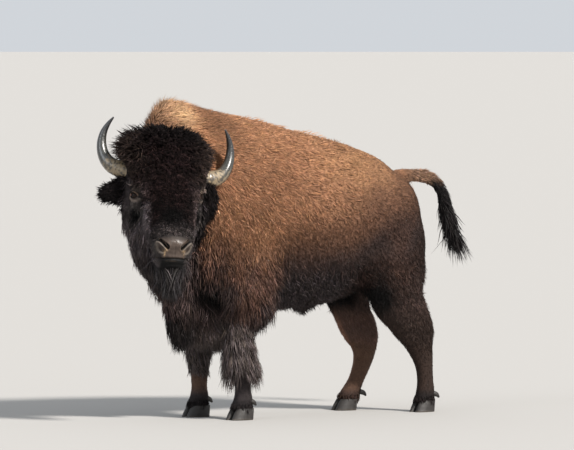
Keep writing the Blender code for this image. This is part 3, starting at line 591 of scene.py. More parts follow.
def skin_shapes():
    torso = [
        trunk(),
        tube(NECK, (1, 0, 0), n=32),
        ellipsoid((-0.015, -0.80, 1.20), (0.195, 0.165, 0.30)),
        ellipsoid((0.000, -0.83, 1.30), (0.165, 0.135, 0.24)),
        ellipsoid((0.070, -0.89, 1.23), (0.170, 0.140, 0.23)),
        ellipsoid((0.000, -0.640, 0.560), (0.100, 0.100, 0.120)),
    ]
    for sgn, y_elbow in ((1, -0.36), (-1, -0.40)):
        torso.append(ellipsoid((0.180 * sgn, -0.54, 0.86), (0.150, 0.22, 0.31)))
        torso.append(ellipsoid((0.196 * sgn, y_elbow - 0.01, 0.610), (0.096, 0.150, 0.150)))
        torso.append(ellipsoid((0.175 * sgn, 0.38, 0.83), (0.115, 0.17, 0.17)))
        torso.append(ellipsoid((0.120 * sgn, 0.57, 0.88), (0.150, 0.205, 0.27)))
    fore_l = slim(LEFT_FORE, under_hair(0.235, 0.50, 0.66))
    fore_r = slim(RIGHT_FORE, under_hair(0.255, 0.50, 0.76))
    for leg in (LEFT_HIND, RIGHT_HIND):
        torso.append(tube([q for q in leg if q[2] > 0.55], (1, 0, 0), n=24, steps=30))
    for leg in (fore_l, fore_r):
        torso.append(tube([q for q in leg if q[2] > 0.45], (1, 0, 0), n=24, steps=30))
    torso = fuse(torso, VOXEL, 30)
    head = [
        head_core(),
        ellipsoid(hp(-0.008, -0.085, 0.152), (0.254, 0.138, 0.194), HA),
        ellipsoid(hp(0, 0.000, 0.105), (0.196, 0.106, 0.120), HA),
        ellipsoid(face(0.50, -0.10), (0.086, 0.075, 0.062), FA),
    ]
    for sgn in (1, -1):
        head.append(ellipsoid(face(0.18, -0.255, 0.112 * sgn), (0.102, 0.115, 0.155), FA))
        head.append(ellipsoid(face(0.34, -0.190, 0.075 * sgn), (0.070, 0.090, 0.110), FA))
        head.append(ellipsoid(hp(0.155 * sgn, -0.10, 0.09), (0.078, 0.09, 0.10), HA))
    # the throat's mane is mostly hair
    head.append(tube([
        (0.250, -1.000, 1.020, 0.115, 0.10, 0.12),
        (0.235, -1.020, 0.940, 0.112, 0.10, 0.12),
        (0.205, -1.000, 0.887, 0.100, 0.09, 0.12),
        (0.182, -0.935, 0.824, 0.106, 0.09, 0.12),
        (0.163, -0.875, 0.762, 0.110, 0.09, 0.12),
        (0.131, -0.845, 0.700, 0.108, 0.09, 0.12),
        (0.113, -0.790, 0.635, 0.100, 0.09, 0.12),
        (0.088, -0.751, 0.573, 0.097, 0.09, 0.12),
        (0.060, -0.726, 0.500, 0.086, 0.08, 0.11),
        (0.050, -0.690, 0.440, 0.055, 0.06, 0.09)], (0.574, 0.819, 0.0), steps=60))
    bow = (0.0, 0.1, 0.35, 0.80, 1.00, 0.95, 0.60, 0.20)
    stout = (1.00, 1.50, 1.80, 1.60, 1.20, 1.00, 1.00, 1.00)
    tail = [(x, y + 0.021 * k, z + 0.006 * k, 0.95 * w, 0.95 * a * m, 0.92 * b * (0.72 + 0.36 * m))
            for k, m, (x, y, z, w, a, b) in zip(bow, stout, TAIL[:8])]
    tail[-1] = tail[-1][:3] + (0.020, 0.020, 0.018)
    tail.append((0.064, 1.010, 0.950, 0.012, 0.012, 0.012))
    pieces = [
        torso,
        tube(LEFT_HIND, (1, 0, 0), steps=80),
        tube(RIGHT_HIND, (1, 0, 0), steps=80),
        tube(fore_l, (1, 0, 0), steps=80),
        tube(fore_r, (1, 0, 0), steps=80),
        tube(tail, (1, 0, 0), steps=70),
        *head,
        ear_core(1),
        ear_core(-1),
        ellipsoid((0.0, 0.075, 0.560), (0.030, 0.045, 0.060)),
    ]
    return fuse(pieces, SKIN_VOXEL, 6)


def ear_core(sgn):
    """The ear itself, inside its long hair."""
    if sgn < 0:
        path = [(-0.140, -0.095, 0.008, 0.036, 0.026, 0.026), (-0.210, -0.100, -0.005, 0.050, 0.028, 0.026),
                (-0.262, -0.103, -0.026, 0.060, 0.026, 0.024), (-0.304, -0.106, -0.038, 0.056, 0.022, 0.020),
                (-0.330, -0.107, -0.044, 0.038, 0.014, 0.014)]
        side = HA[2]
    else:
        path = [(0.145, -0.095, 0.074, 0.036, 0.026, 0.026), (0.210, -0.100, 0.058, 0.040, 0.028, 0.024),
                (0.248, -0.104, 0.012, 0.040, 0.028, 0.022), (0.254, -0.106, -0.048, 0.034, 0.022, 0.020),
                (0.246, -0.108, -0.092, 0.018, 0.014, 0.012)]
        side = HA[1] * 0.45 + HA[0] * 0.9
    return tube([tuple(hp(*p[:3])) + p[3:] for p in path], side, n=20, steps=30)


def eye_frame(sgn):
    """The eye's middle, and its outward, lengthwise and upward directions."""
    centre = fp(0.161, 0.006, -0.006) if sgn > 0 else fp(-0.165, 0.006, -0.017)
    out = unit(np.array([sgn * 0.82, 0.57, 0.04]) @ FA)
    along = unit(np.cross(FA[2], out)) * sgn      # towards the ear or the nose
    up = unit(np.cross(out, along)) * 1.0
    if up @ FA[2] < 0:
        up = -up
    tilt = math.radians(-9 * sgn)
    along, up = along * math.cos(tilt) + up * math.sin(tilt), up * math.cos(tilt) - along * math.sin(tilt)
    return centre, out, along, up


def rho_of(q, out):
    """Distance from the line through the eye."""
    return np.linalg.norm(q - (q @ out)[:, None] * out, axis=1)


EYE_RADIUS = 0.0232
LID = 0.0224, 0.0148          # half the opening, lengthwise and upwards
NOSTRIL = np.array([(0.457, 0.084), (0.504, 0.036)])             # its outer and inner ends: down the face, out to the side
WING = np.array([(0.450, 0.086), (0.476, 0.092), (0.497, 0.0845), (0.513, 0.073), (0.5225, 0.057), (0.5220, 0.043)])
MOUTH = 0.320                                                    # its line, below the eyes


def to_line(t, side, points):
    """Distance to a line drawn on the face, and how far along it."""
    q = np.stack([t, side], 1)
    best, where = np.full(len(q), 9.0), np.zeros(len(q))
    for k in range(len(points) - 1):
        ab = points[k + 1] - points[k]
        s = np.clip((q - points[k]) @ ab / (ab @ ab), 0, 1)
        r = np.linalg.norm(q - points[k] - s[:, None] * ab, axis=1)
        nearer = r < best
        best, where = np.where(nearer, r, best), np.where(nearer, (k + s) / (len(points) - 1), where)
    return best, where


def nose_parts(t, side):
    """The nostril's slit, the lip below it, the hollow below that and the wing's rim round them."""
    slit, s = to_line(t, side, NOSTRIL)
    ab = NOSTRIL[1] - NOSTRIL[0]
    long = np.linalg.norm(ab)
    q = (np.stack([t, side], 1) - NOSTRIL[0]) @ np.array([ab, (-ab[1], ab[0])]).T / long
    along, g = q[:, 0] / long, q[:, 1]
    lip = bell(g, 0.0100, 0.0038) * smooth(along, -0.05, 0.18) * smooth(along, 1.15, 0.88)
    hollow = np.exp(-(((along - 0.62) * long / 0.0185) ** 2 + ((g - 0.0225) / 0.0066) ** 2))
    rim, w = to_line(t, side, WING)
    rim = bell(rim, 0, 0.0044) * smooth(w, 0.0, 0.10) * smooth(w, 1.0, 0.82)
    return slit, s, lip, hollow, rim


def coat_depth(p, nrm):
    """How far the skin lies under the tips of the coat."""
    x, y, z = p.T
    t, n, lat, up = face_of(p)
    cl, cf, cu = crown_of(p)
    head = on_head(p)
    d = 0.010 + 0.010 * smooth(y, 0.10, -0.30) * smooth(z, 0.70, 0.95)
    d += 0.016 * smooth(z, 0.85, 0.60) * smooth(y, 0.5, 0.2)
    d += 0.026 * smooth(nrm[:, 2], -0.2, -0.8) * smooth(z, 0.40, 0.48) * smooth(y, 0.35, 0.0)
    d += 0.010 * np.exp(-(((y - 0.30) / 0.065) ** 2 + ((z - 1.10) / 0.13) ** 2)) * smooth(np.abs(x), 0.15, 0.20)
    legs = smooth(z, 0.52, 0.40)
    d = d * (1 - legs) + 0.005 * legs
    tail = smooth(y, 0.80, 0.86) * smooth(z, 0.5, 0.7)
    d = d * (1 - tail) + 0.001 * tail
    face_d = 0.006 - 0.0045 * smooth(t, 0.34, 0.44) * smooth(n, -0.16, -0.10)
    face_d += 0.016 * smooth(cu, 0.02, 0.14) + 0.010 * smooth(t, 0.33, 0.24) * bell(lat, 0, 0.12)
    face_d = np.where(ear_mask(p) > 0.5, 0.003, face_d)
    return d * (1 - head) + face_d * head


def on_head(p):
    cl, cf, cu = crown_of(p)
    wide = np.interp(cu, (-0.45, -0.32, -0.22, -0.15, -0.06, 0.00), (0.165, 0.175, 0.205, 0.245, 0.275, 0.30))
    behind = smooth(cf - 0.045 * smooth(np.abs(cl), 0.20, 0.24) * smooth(cu, 0.14, 0.10), -0.22, -0.16)
    return behind * smooth(np.abs(cl) - np.where(cl < 0, 0.38, wide), 0.022, 0.002) * smooth(cu, -0.52, -0.44)


def ear_mask(p):
    cl, cf, cu = crown_of(p)
    left = smooth(cl, 0.196, 0.206) * smooth(cu, 0.100, 0.085) * smooth(cf, -0.19, -0.17) * smooth(cf, -0.04, -0.055)
    right = smooth(-cl, 0.200, 0.212) * smooth(cu, 0.072, 0.060) * smooth(cf, -0.19, -0.17) * smooth(cf, -0.035, -0.05)
    return np.maximum(left, right)


def features(v, f):
    """Nostrils, mouth, lips, lids and folds, carved into the refined skin."""
    nrm = normals_of(v, f)
    t, n, lat, up = face_of(v)
    front = on_head(v) * smooth(n, -0.30, -0.24)
    side = np.abs(lat)
    # the muzzle narrows from the nostrils to the lips
    snout = front * smooth(t, 0.41, 0.455) * smooth(n, -0.215, -0.12)
    narrow = 1 - snout * np.interp(up, (-0.40, -0.340, -0.320, -0.292, -0.26, -0.22), (0.20, 0.255, 0.26, 0.20, 0.095, 0.06))
    v = v + (lat * (narrow - 1))[:, None] * FA[0]
    lat = lat * narrow
    side = np.abs(lat)
    d = np.zeros(len(v))
    # nostrils: commas, high outside and low inside, with thick rims
    slit, s, lip, hollow, rim = nose_parts(t, side)
    width = 0.0034 + 0.0024 * bell(s, 0.75, 0.40)
    muzzle = front * smooth(t, 0.40, 0.43)
    d -= 0.023 * np.exp(-((slit / width) ** 2)) * muzzle
    d += 0.0010 * bell(slit, width + 0.0075, 0.0045) * muzzle
    d += (0.0062 * lip - 0.0052 * hollow + 0.0046 * rim) * muzzle
    d += 0.0035 * np.exp(-(((t - 0.495) / 0.026) ** 2 + ((side - 0.078) / 0.022) ** 2)) * muzzle
    # the bridge falls back above the nose's rounded front edge
    level = front * smooth(side, 0.110, 0.070)
    d -= 0.0125 * smooth(t, 0.365, 0.430) * smooth(t, 0.482, 0.448) * level
    d += 0.0080 * bell(t, 0.494, 0.016) * level * smooth(side, 0.060, 0.030)
    # the pad between them and its groove
    d -= 0.0026 * bell(lat, 0, 0.0045) * smooth(t, 0.490, 0.512) * smooth(up, -0.320, -0.310) * muzzle
    d -= 0.0022 * bell(t, 0.437, 0.006) * smooth(side, 0.075, 0.055) * front
    # mouth: a line across the front that runs back along the lips
    line = up + MOUTH + 0.6 * lat**2
    mouth = smooth(t, 0.47, 0.50) * smooth(n, -0.20, -0.16) * front * smooth(side, 0.118, 0.105)
    d -= 0.0075 * bell(line, 0.0, 0.0045) * mouth
    d += 0.0020 * bell(line, 0.0110, 0.0070) * mouth + 0.0022 * bell(line, -0.0125, 0.0080) * mouth
    # chin's pucker and small folds over the nose and behind the nostrils
    d -= 0.0030 * bell(line, -0.030, 0.006) * mouth * smooth(side, 0.07, 0.05)
    for k in range(3):
        d -= 0.0012 * bell(t - 0.15 * side, 0.405 - 0.018 * k, 0.0032) * smooth(side, 0.09, 0.06) * front
        d -= 0.0016 * bell(side + 0.35 * (t - 0.46), 0.104 + 0.008 * k, 0.0028) * bell(t, 0.468, 0.035) * front
    # cheek and brow: the facial crest and the hollow before the eye
    d += 0.006 * bell(t - 0.25 * side, 0.29, 0.05) * bell(side, 0.135, 0.03) * front
    d -= 0.006 * bell(t, 0.235, 0.022) * bell(side, 0.150, 0.022) * front
    v = v + nrm * d[:, None]
    # lids: the skin follows the ball and opens in an almond
    for sgn in (1, -1):
        c, out, along, above = eye_frame(sgn)
        q = v - c
        h, u, w = q @ out, q @ along, q @ above
        near = (rho_of(q, out) < 0.083) & (h > -0.045) & (h < 0.06)
        rho2 = u * u + w * w
        corner = 1 + 0.25 * smooth(np.abs(u), 0.011, 0.027)
        e = np.sqrt((u / LID[0]) ** 2 + (w * corner / LID[1]) ** 2)
        rho = np.sqrt(rho2)
        lid = np.sqrt(np.maximum((EYE_RADIUS + 0.0042) ** 2 - rho2, 0.0))
        skirt = 0.0150 - 0.33 * (rho - 0.0225)
        lid = np.where(rho < 0.0225, np.maximum(lid, 0.0150), skirt)
        blend = 1 - smooth(rho, 0.030, 0.082)
        h2 = h * (1 - blend) + lid * blend
        h2 += 0.0026 * bell(e, 1.15, 0.13) * np.where(w > 0, 1.15, 0.9)
        h2 -= 0.0110 * (1 - smooth(e, 0.86, 1.05))
        h2 -= 0.0028 * bell(e, 1.66, 0.14) * np.where(w > 0, 1.0, 0.8)
        h2 -= 0.0016 * bell(e, 2.25, 0.16) * np.where(w > 0, 0.6, 1.0)
        v = np.where(near[:, None], v + out * (h2 - h)[:, None], v)
    return v


def skin_mesh():
    v, f = skin_shapes()
    nrm = normals_of(v, f)
    v = v - nrm * coat_depth(v, nrm)[:, None]
    v = relaxed(v, f, np.ones(len(v)), 2)
    for level in range(3):
        t, n, lat, up = face_of(v)
        head = on_head(v) > 0.5
        face_front = head & (t > -0.02) & (n > -0.30) & (np.abs(lat) < 0.24)
        muzzle = head & (t > 0.39) & (n > -0.22)
        nose = head & (t > 0.428) & (n > -0.115)
        eyes = np.zeros(len(v), bool)
        for sgn in (1, -1):
            c, out, along, above = eye_frame(sgn)
            r = np.linalg.norm(v - c, axis=1)
            eyes |= (r < (0.10, 0.062, 0.044)[level]) & ((v - c) @ out > -0.03)
        wanted = ((face_front | muzzle | eyes), (muzzle | eyes), (nose | eyes))[level]
        v, f = refined(v, f, wanted)
        t, n, lat, up = face_of(v)
        soft = on_head(v) * smooth(n, -0.34, -0.26)
        v = relaxed(v, f, soft, (6, 6, 8)[level])
    v = features(v, f)
    t, n, lat, up = face_of(v)
    return relaxed(v, f, on_head(v) * smooth(n, -0.3, -0.25), 1, 0.35), f


# ---------------------------------------------------------------- colours
WOOL = np.array([0.0056, 0.0032, 0.0031])       # of the forehead, deep in shade between its curls
SIDE = np.array([0.033, 0.0235, 0.0225])        # the sides of the face
GREY = np.array([0.046, 0.0375, 0.0385])          # the cheeks
TOWARD_NOSE = 1 if (eye_frame(1)[2] @ FA[1]) > 0 else -1
TAN = np.array([0.262, 0.131, 0.0715])
GOLD = np.array([0.480, 0.262, 0.128])
BROWN = np.array([0.125, 0.061, 0.036])
RUST = np.array([0.141, 0.077, 0.058])
UMBER = np.array([0.052, 0.0275, 0.0205])
DARK = np.array([0.0385, 0.0305, 0.0310])
THIGH = np.array([0.0260, 0.0138, 0.0108])
BLACK = np.array([0.0080, 0.0062, 0.0064])
SOOT = np.array([0.021, 0.0185, 0.0190])
TAUPE = np.array([0.030, 0.024, 0.021])
PAD = np.array([0.082, 0.060, 0.049])
CANNON = np.array([0.100, 0.057, 0.038])


def mix(a, b, k):
    return a + (b - a) * k[:, None]


def tint_of(p, nrm):
    """The coat's colour by its named regions."""
    x, y, z = p.T
    ax = np.abs(x)
    cl, cf, cu = crown_of(p)
    t, n, lat, up = face_of(p)
    w1, w2, w3 = rough_noise(p, 0.30, 1), rough_noise(p, 0.09, 2), rough_noise(p, 0.045, 5)
    zz = z + 0.030 * w1 + 0.022 * w2
    c = TAN * (1.22 - 0.42 * smooth(y, -0.02, 0.34))[:, None]
    # paler and more golden along the back, palest on the hump's front and crest
    below_back = np.interp(y, TRUNK_Y, TRUNK_TOP) - z
    spine = smooth(below_back, 0.34, 0.05)
    gold = spine * (0.28 + 0.42 * w2 + 0.36 * w3) * smooth(y, 0.50, 0.24)
    gold += 0.50 * bell(below_back, 0.17, 0.10) * smooth(y, -0.10, 0.05) * smooth(y, 0.38, 0.26)
    gold = np.clip(gold, 0, 1) * (1 - 0.55 * bell(y, -0.05, 0.20))
    gold += 0.45 * bell(y, 0.43, 0.10) * smooth(z, 1.14, 1.24)
    c = mix(c, GOLD, np.clip(gold * 0.62, 0, 1))
    # painted shade: the hump's forward face, turned away from the light, darker than its crest
    c = mix(c, np.array([0.190, 0.103, 0.062]), smooth(y, -0.70, -0.82) * smooth(z, 1.30, 1.45))
    crest = np.exp(-(((y + 0.745) / 0.075) ** 2 + ((z - 1.570) / 0.070) ** 2)) * (0.95 + 0.25 * w3)
    c = mix(c, np.array([0.500, 0.320, 0.182]), np.clip(crest, 0, 1))
    c = mix(c, TAN * 0.78, smooth(y, -0.70, -0.60) * smooth(y, -0.38, -0.48) * spine * 0.95)
    c = mix(c, BROWN * 0.9, 0.50 * spine * np.clip(w1 * 1.6 - 0.45 + 0.5 * w3, 0, 1) * smooth(y, -0.6, -0.2))
    # three dusks down the sides: brown, then umber, then dark; they climb towards the thighs
    stations = (-0.72, -0.62, -0.50, -0.38, -0.28, -0.15, 0.20, 0.38, 0.52, 0.64, 0.80)
    first = np.interp(y, stations, (1.06, 1.01, 0.90, 0.82, 0.94, 0.985, 1.06, 1.17, 1.195, 1.20, 1.22))
    second = np.interp(y, stations, (0.89, 0.86, 0.69, 0.66, 0.87, 0.890, 0.880, 0.995, 1.060, 1.08, 1.11))
    third = np.interp(y, stations, (0.72, 0.69, 0.57, 0.60, 0.775, 0.780, 0.780, 0.91, 0.800, 0.95, 0.98))
    c = mix(c, BROWN, smooth(zz - first, 0.11, -0.11))
    c = mix(c, UMBER, smooth(zz - second, 0.085, -0.085))
    c = mix(c, DARK, smooth(zz - third, 0.090, -0.090))
    c = mix(c, THIGH, smooth(zz - third, 0.090, -0.090) * smooth(y, 0.14, 0.32))
    c = mix(c, np.array([0.066, 0.042, 0.036]), smooth(z, 0.82, 0.68) * smooth(y, 0.34, 0.46))
    # rust on the lower shoulder, with a few sunburnt tips
    rust = smooth(y, -0.22, -0.34) * smooth(y, -0.61, -0.45) * bell(zz, 0.735, 0.095)
    c = mix(c, RUST * (1 + 0.3 * w2)[:, None], np.clip(rust * 1.1, 0, 1))
    tips = bell(y, -0.37, 0.09) * bell(z, 0.90, 0.10) * smooth(w2 + 0.6 * w3, -0.1, 0.5)
    c = mix(c, GOLD * 0.62, 0.40 * np.clip(tips, 0, 1))
    # behind the thigh the hair is black, over the thigh's muscle a little browner
    muscle = bell(y, 0.50, 0.09) * bell(z, 0.76, 0.14) * smooth(x * np.sign(nrm[:, 0]), 0.0, 0.05)
    c = mix(c, UMBER * 1.15, 0.7 * muscle)
    # throat, chest and brisket
    low = smooth(z, 1.22, 1.05)
    front = smooth(-y + 0.20 * (0.9 - z) + 0.04 * w2 - 0.62 - 1.05 * np.clip(ax - 0.10, 0, 1), -0.035, 0.035) * low
    breast = np.array([0.042, 0.0280, 0.0258])
    c = mix(c, breast * (1 + 0.5 * w2)[:, None], front)
    fold = smooth(z + 0.03 * w2, 0.775, 0.700) * smooth(y - 0.6 * (ax - 0.2), -0.535, -0.605)
    c = mix(c, breast * (1 + 0.5 * w2)[:, None], fold)
    # painted shade: a black hollow at the left armpit, where the chest's fold lies in shadow
    hollow = np.exp(-(((x - 0.208) / 0.048) ** 2 + ((z - 0.655) / 0.060) ** 2)) * smooth(y, -0.55, -0.60) * smooth(y, -0.765, -0.700)
    c = mix(c, BLACK * 0.2, np.clip(hollow * 1.35, 0, 1))
    bottom = smooth(z, 0.56, 0.47)
    c = mix(c, breast * 0.95, bottom * smooth(y, -0.10, -0.42))
    # painted shade in the groin, between the belly and the thighs
    groin = np.exp(-(((z - 0.60) / 0.12) ** 2 + ((y - 0.40) / 0.100) ** 2)) * smooth(z, 0.85, 0.75)
    c = mix(c, BLACK * 0.4, np.clip(groin * 1.4, 0, 1))
    # legs
    leg = smooth(z + 0.03 * w2, 0.60, 0.44)
    fore = leg * smooth(y, -0.10, -0.25)
    c = mix(c, np.array([0.068, 0.054, 0.051]) * (1 + 0.35 * w2)[:, None], fore)
    keel = smooth(y, -0.625, -0.680) * smooth(z, 0.61, 0.54) * smooth(x, 0.215, 0.160) * smooth(z, 0.30, 0.36)
    c = mix(c, BLACK * 0.55, 0.9 * keel)
    cannon = fore * smooth(z, 0.235, 0.205)
    c = mix(c, DARK, cannon)
    c = mix(c, CANNON, cannon * smooth(x, -0.10, -0.14) * smooth(z, 0.11, 0.16) * 0.85)
    hind = leg * smooth(y, 0.10, 0.25)
    far = smooth(x, 0.0, -0.05)
    c = mix(c, np.array([0.041, 0.0262, 0.0212]), hind)
    # painted light: the far hind leg's upper shank much lighter, where the light falls on it
    c = mix(c, np.array([0.250, 0.135, 0.096]), hind * far * smooth(z, 0.64, 0.46))
    shin = hind * smooth(z, 0.40, 0.33)
    c = mix(c, np.array([0.030, 0.0175, 0.0130]), shin * (1 - far))
    inside = smooth(-x * np.sign(nrm[:, 0]), 0.0, 0.02) * smooth(np.abs(nrm[:, 0]), 0.3, 0.7)
    # the far hind shins browner: partly their own colour, partly painted light on the faces turned towards +X and the
    # light
    c = mix(c, CANNON * 1.1, shin * smooth(z, 0.07, 0.12) * smooth(x, -0.05, -0.10) * (0.35 + 0.55 * (nrm[:, 0] > 0)))
    c = mix(c, BLACK * 1.2, leg * smooth(z, 0.135, 0.085) * 0.85)
    # painted shade on the legs' inner faces high up, between the legs
    c = mix(c, DARK, leg * inside * smooth(z, 0.30, 0.42) * 0.7)
    # tail
    tail = np.maximum(smooth(y, 0.70, 0.80) * smooth(z, 1.15, 1.19), smooth(y, 0.83, 0.87) * smooth(z, 0.60, 0.75))
    c = mix(c, np.array([0.185, 0.108, 0.070]), tail)
    c = mix(c, BLACK * 0.8, tail * smooth(z + 0.03 * w3, 1.255, 1.195) * smooth(y, 0.83, 0.90))
    # head
    head = on_head(p)
    side = np.abs(lat)
    h = np.broadcast_to(WOOL, (len(p), 3)).copy()
    h = mix(h, SIDE * 0.8, smooth(side + 0.03 * smooth(lat, 0, 0.05), 0.085, 0.150) * (0.8 + 0.4 * w2).clip(0, 1))
    shaded = smooth(lat, -0.02, 0.02)
    h = mix(h, GREY * (1 - 0.25 * shaded)[:, None], smooth(side, 0.115, 0.150) * smooth(n, -0.08, -0.12))
    h = mix(h, GREY * (0.50 + (0.70 - 0.50 * shaded) * smooth(n, -0.07, -0.14))[:, None], smooth(t + 0.02 * w2, 0.34, 0.41))
    h = mix(h, GREY * 2.1, 0.8 * smooth(t, 0.215, 0.245) * smooth(t, 0.40, 0.34) * smooth(side, 0.098, 0.124) * (1 - 0.8 * shaded))
    mop = smooth(cu + 0.02 * w2, 0.03, 0.11)
    ends = smooth(np.abs(cl + 0.02), 0.09, 0.20)
    h = mix(h, WOOL * 1.0, mop)
    h = mix(h, np.array([0.0175, 0.0120, 0.0100]), mop * ends * smooth(cf, -0.16, -0.08))
    h = mix(h, BLACK * 0.45, smooth(cu, 0.23, 0.31))
    muzzle = smooth(t + 0.012 * w2, 0.385, 0.425) * smooth(n, -0.15, -0.10)
    h = mix(h, TAUPE, muzzle * 0.36)
    patch = bell(t, 0.345, 0.050) * bell(lat + 0.012, 0, 0.060) * smooth(n, -0.03, 0.0)
    h = mix(h, BLACK * 0.22, np.clip(patch * 1.4, 0, 1))
    pad = smooth(t + 0.004 * w2, 0.446, 0.458) * smooth(up, -MOUTH - 0.007, -MOUTH + 0.006) * smooth(n, -0.085, -0.060)
    pad *= smooth(side - pad_half(up), 0.008, -0.004)
    damp = PAD * (0.92 + 0.34 * rough_noise(p, 0.010, 24))[:, None]
    damp = damp * (0.42 + 0.58 * smooth(t, 0.452, 0.490))[:, None]
    h = mix(h, damp, pad)
    slit, s, lip, below, rim = nose_parts(t, side)
    h = mix(h, np.array([0.190, 0.160, 0.135]), lip * pad * 0.9)
    # painted shade in the hollow below each nostril's lip
    h = mix(h, np.array([0.022, 0.014, 0.011]), np.clip(below * 1.15, 0, 1) * pad * 0.9)
    h = mix(h, np.array([0.125, 0.103, 0.085]), rim * muzzle * 0.9)
    h = mix(h, np.array([0.140, 0.100, 0.078]), bell(slit, 0.0105, 0.0030) * pad * smooth(lip, 0.1, 0.0) * 0.6)
    # painted shade: the nostrils' slits black inside
    h = mix(h, np.array([0.0008, 0.0008, 0.0008]), smooth(slit - 0.0024 * bell(s, 0.75, 0.40), 0.0072, 0.0050) * muzzle)
    line = up + MOUTH + 0.6 * lat**2
    lips = smooth(t, 0.46, 0.49) * smooth(n, -0.21, -0.17)
    h = mix(h, BLACK * 0.20, lips * smooth(line, 0.006, 0.000) * smooth(side, 0.068, 0.052))
    h = mix(h, np.array([0.085, 0.058, 0.037]), lips * bell(line, -0.0125, 0.0030) * smooth(side, 0.050, 0.030) * smooth(w3 + 0.5 * w2, -0.3, 0.3) * 0.75)
    grain = rough_noise(p, 0.005, 21)
    crust = np.exp(-(((side - 0.047) / 0.010) ** 2 + ((up + 0.281) / 0.009) ** 2)) + bell(side, 0.049, 0.0036) * bell(up, -0.300, 0.011)
    h = mix(h, np.array([0.46, 0.31, 0.17]), np.clip(crust * lips * smooth(grain, -0.30, 0.25), 0, 1) * 0.85)
    # bare skin round the eyes, and the dark spot before them
    for sgn in (1, -1):
        ce, out, along, above = eye_frame(sgn)
        qe = p - ce
        u, w = qe @ along, qe @ above
        near = (np.linalg.norm(qe, axis=1) < 0.12) & (qe @ out > -0.05)
        e = np.sqrt((u / LID[0]) ** 2 + (w / LID[1]) ** 2)
        near2 = (np.linalg.norm(qe, axis=1) < 0.13) & (qe @ out > -0.09)
        mottled = (1 + 1.1 * rough_noise(p, 0.012, 27)).clip(0.2, 2.2)[:, None]
        above_eye = np.exp(-(((u - 0.006) / 0.034) ** 2 + ((w - 0.040) / 0.024) ** 2)) * near2
        h = mix(h, np.array([0.072, 0.056, 0.046]) * mottled, np.clip(above_eye * 1.3, 0, 1))
        below_eye = np.exp(-((u / 0.036) ** 2 + ((w + 0.047) / 0.026) ** 2)) * near2
        h = mix(h, np.array([0.058, 0.050, 0.047]) * mottled, np.clip(below_eye * 1.3, 0, 1))
        # painted shadow: a black crescent on the nose's side of each eye, under the brow's wool
        h = mix(h, BLACK * 0.35, np.exp(-(((u * sgn * TOWARD_NOSE - 0.052) / 0.013) ** 4 + ((w - 0.018) / 0.046) ** 4)) * near2)
        h = mix(h, BLACK * 0.35, np.exp(-(((u * sgn * TOWARD_NOSE + 0.050) / 0.014) ** 4 + ((w + 0.020) / 0.080) ** 4)) * near2)
        h = mix(h, np.array([0.200, 0.158, 0.132]) * mottled, bell(e, 1.75, 0.42) * smooth(w, -0.002, -0.010) * near * 0.85)
        h = mix(h, np.array([0.010, 0.008, 0.007]), bell(e, 1.62, 0.16) * smooth(w, -0.004, 0.002) * near * 0.8)
        # the upper lid's tan rim: partly the lid's colour, partly a painted highlight along its edge
        h = mix(h, np.array([0.230, 0.140, 0.085]), bell(e, 1.25, 0.10) * smooth(w, 0.001, 0.008) * near * 0.85)
        h = mix(h, np.array([0.050, 0.036, 0.030]), bell(e, 1.16, 0.12) * smooth(w, 0.002, -0.003) * near * 0.85)
        h = mix(h, np.array([0.003, 0.003, 0.003]), smooth(e, 1.10, 0.98) * near)
        corner_at = np.exp(-(((u * sgn * TOWARD_NOSE - LID[0] * 0.95) / 0.0050) ** 2 + ((w + 0.002) / 0.0045) ** 2)) * near
        h = mix(h, np.array([0.360, 0.210, 0.170]), corner_at)
        spot = fp(sgn * 0.151, -0.026, -0.110)
        off = p - spot
        rs = np.sqrt((0.78 * dots(off, FA[0])) ** 2 + (0.78 * dots(off, FA[1])) ** 2 + (0.95 * dots(off, FA[2])) ** 2)
        h = mix(h, np.array([0.058, 0.050, 0.046]), bell(rs, 0.040, 0.012) * 0.7)
        h = mix(h, BLACK * 0.15, smooth(rs + 0.006 * w3, 0.034, 0.024))
    ears = ear_mask(p)
    h = mix(h, BLACK * 0.6, ears)
    mane = smooth(up, -0.22, -0.30) * smooth(n, -0.14, -0.20)
    h = mix(h, np.array([0.023, 0.0175, 0.0175]), mane)
    c = mix(c, h, head)
    return np.clip(c, 0.001, 1)


TRUNK_Y = [q[0] for q in TRUNK]
TRUNK_TOP = [q[1] for q in TRUNK]


def pad_half(up):
    """Half the nose pad's width at a height above the eyes."""
    return np.interp(up, (-0.40, -0.338, -0.305, -0.290, -0.275, -0.252, -0.215, -0.198),
                     (0.046, 0.049, 0.061, 0.073, 0.0845, 0.0905, 0.082, 0.058))


def bare_of(p):
    """1 where the skin is bare and damp: the nose pad, the lips and the lids."""
    t, n, lat, up = face_of(p)
    pad = smooth(t, 0.448, 0.456) * smooth(up, -0.372, -0.350) * smooth(n, -0.105, -0.060)
    pad *= smooth(np.abs(lat) - pad_half(up), 0.008, -0.004)
    out = pad * on_head(p)
    for sgn in (1, -1):
        ce, axis, along, above = eye_frame(sgn)
        q = p - ce
        e = np.sqrt(((q @ along) / LID[0]) ** 2 + ((q @ above) / LID[1]) ** 2)
        out = np.maximum(out, smooth(e, 1.6, 1.3) * (np.linalg.norm(q, axis=1) < 0.05))
    return out


def damp_of(p):
    """How wet the bare skin is: the nose between the nostrils, the lids' edges, the lips a little."""
    t, n, lat, up = face_of(p)
    out = 0.45 * bare_of(p) * smooth(up, -MOUTH, -MOUTH + 0.01)
    out = np.maximum(out, 0.30 * bare_of(p))
    spot = 1.5 * np.exp(-(((lat - 0.004) / 0.036) ** 2 + ((t - 0.484) / 0.016) ** 2)) * smooth(n, -0.05, -0.03)
    spot = np.clip(spot, 0, 1)
    out = np.maximum(out, spot * on_head(p))
    for sgn in (1, -1):
        ce, axis, along, above = eye_frame(sgn)
        q = p - ce
        e = np.sqrt(((q @ along) / LID[0]) ** 2 + ((q @ above) / LID[1]) ** 2)
        out = np.maximum(out, 0.9 * smooth(e, 1.25, 1.1) * (np.linalg.norm(q, axis=1) < 0.05))
    return out


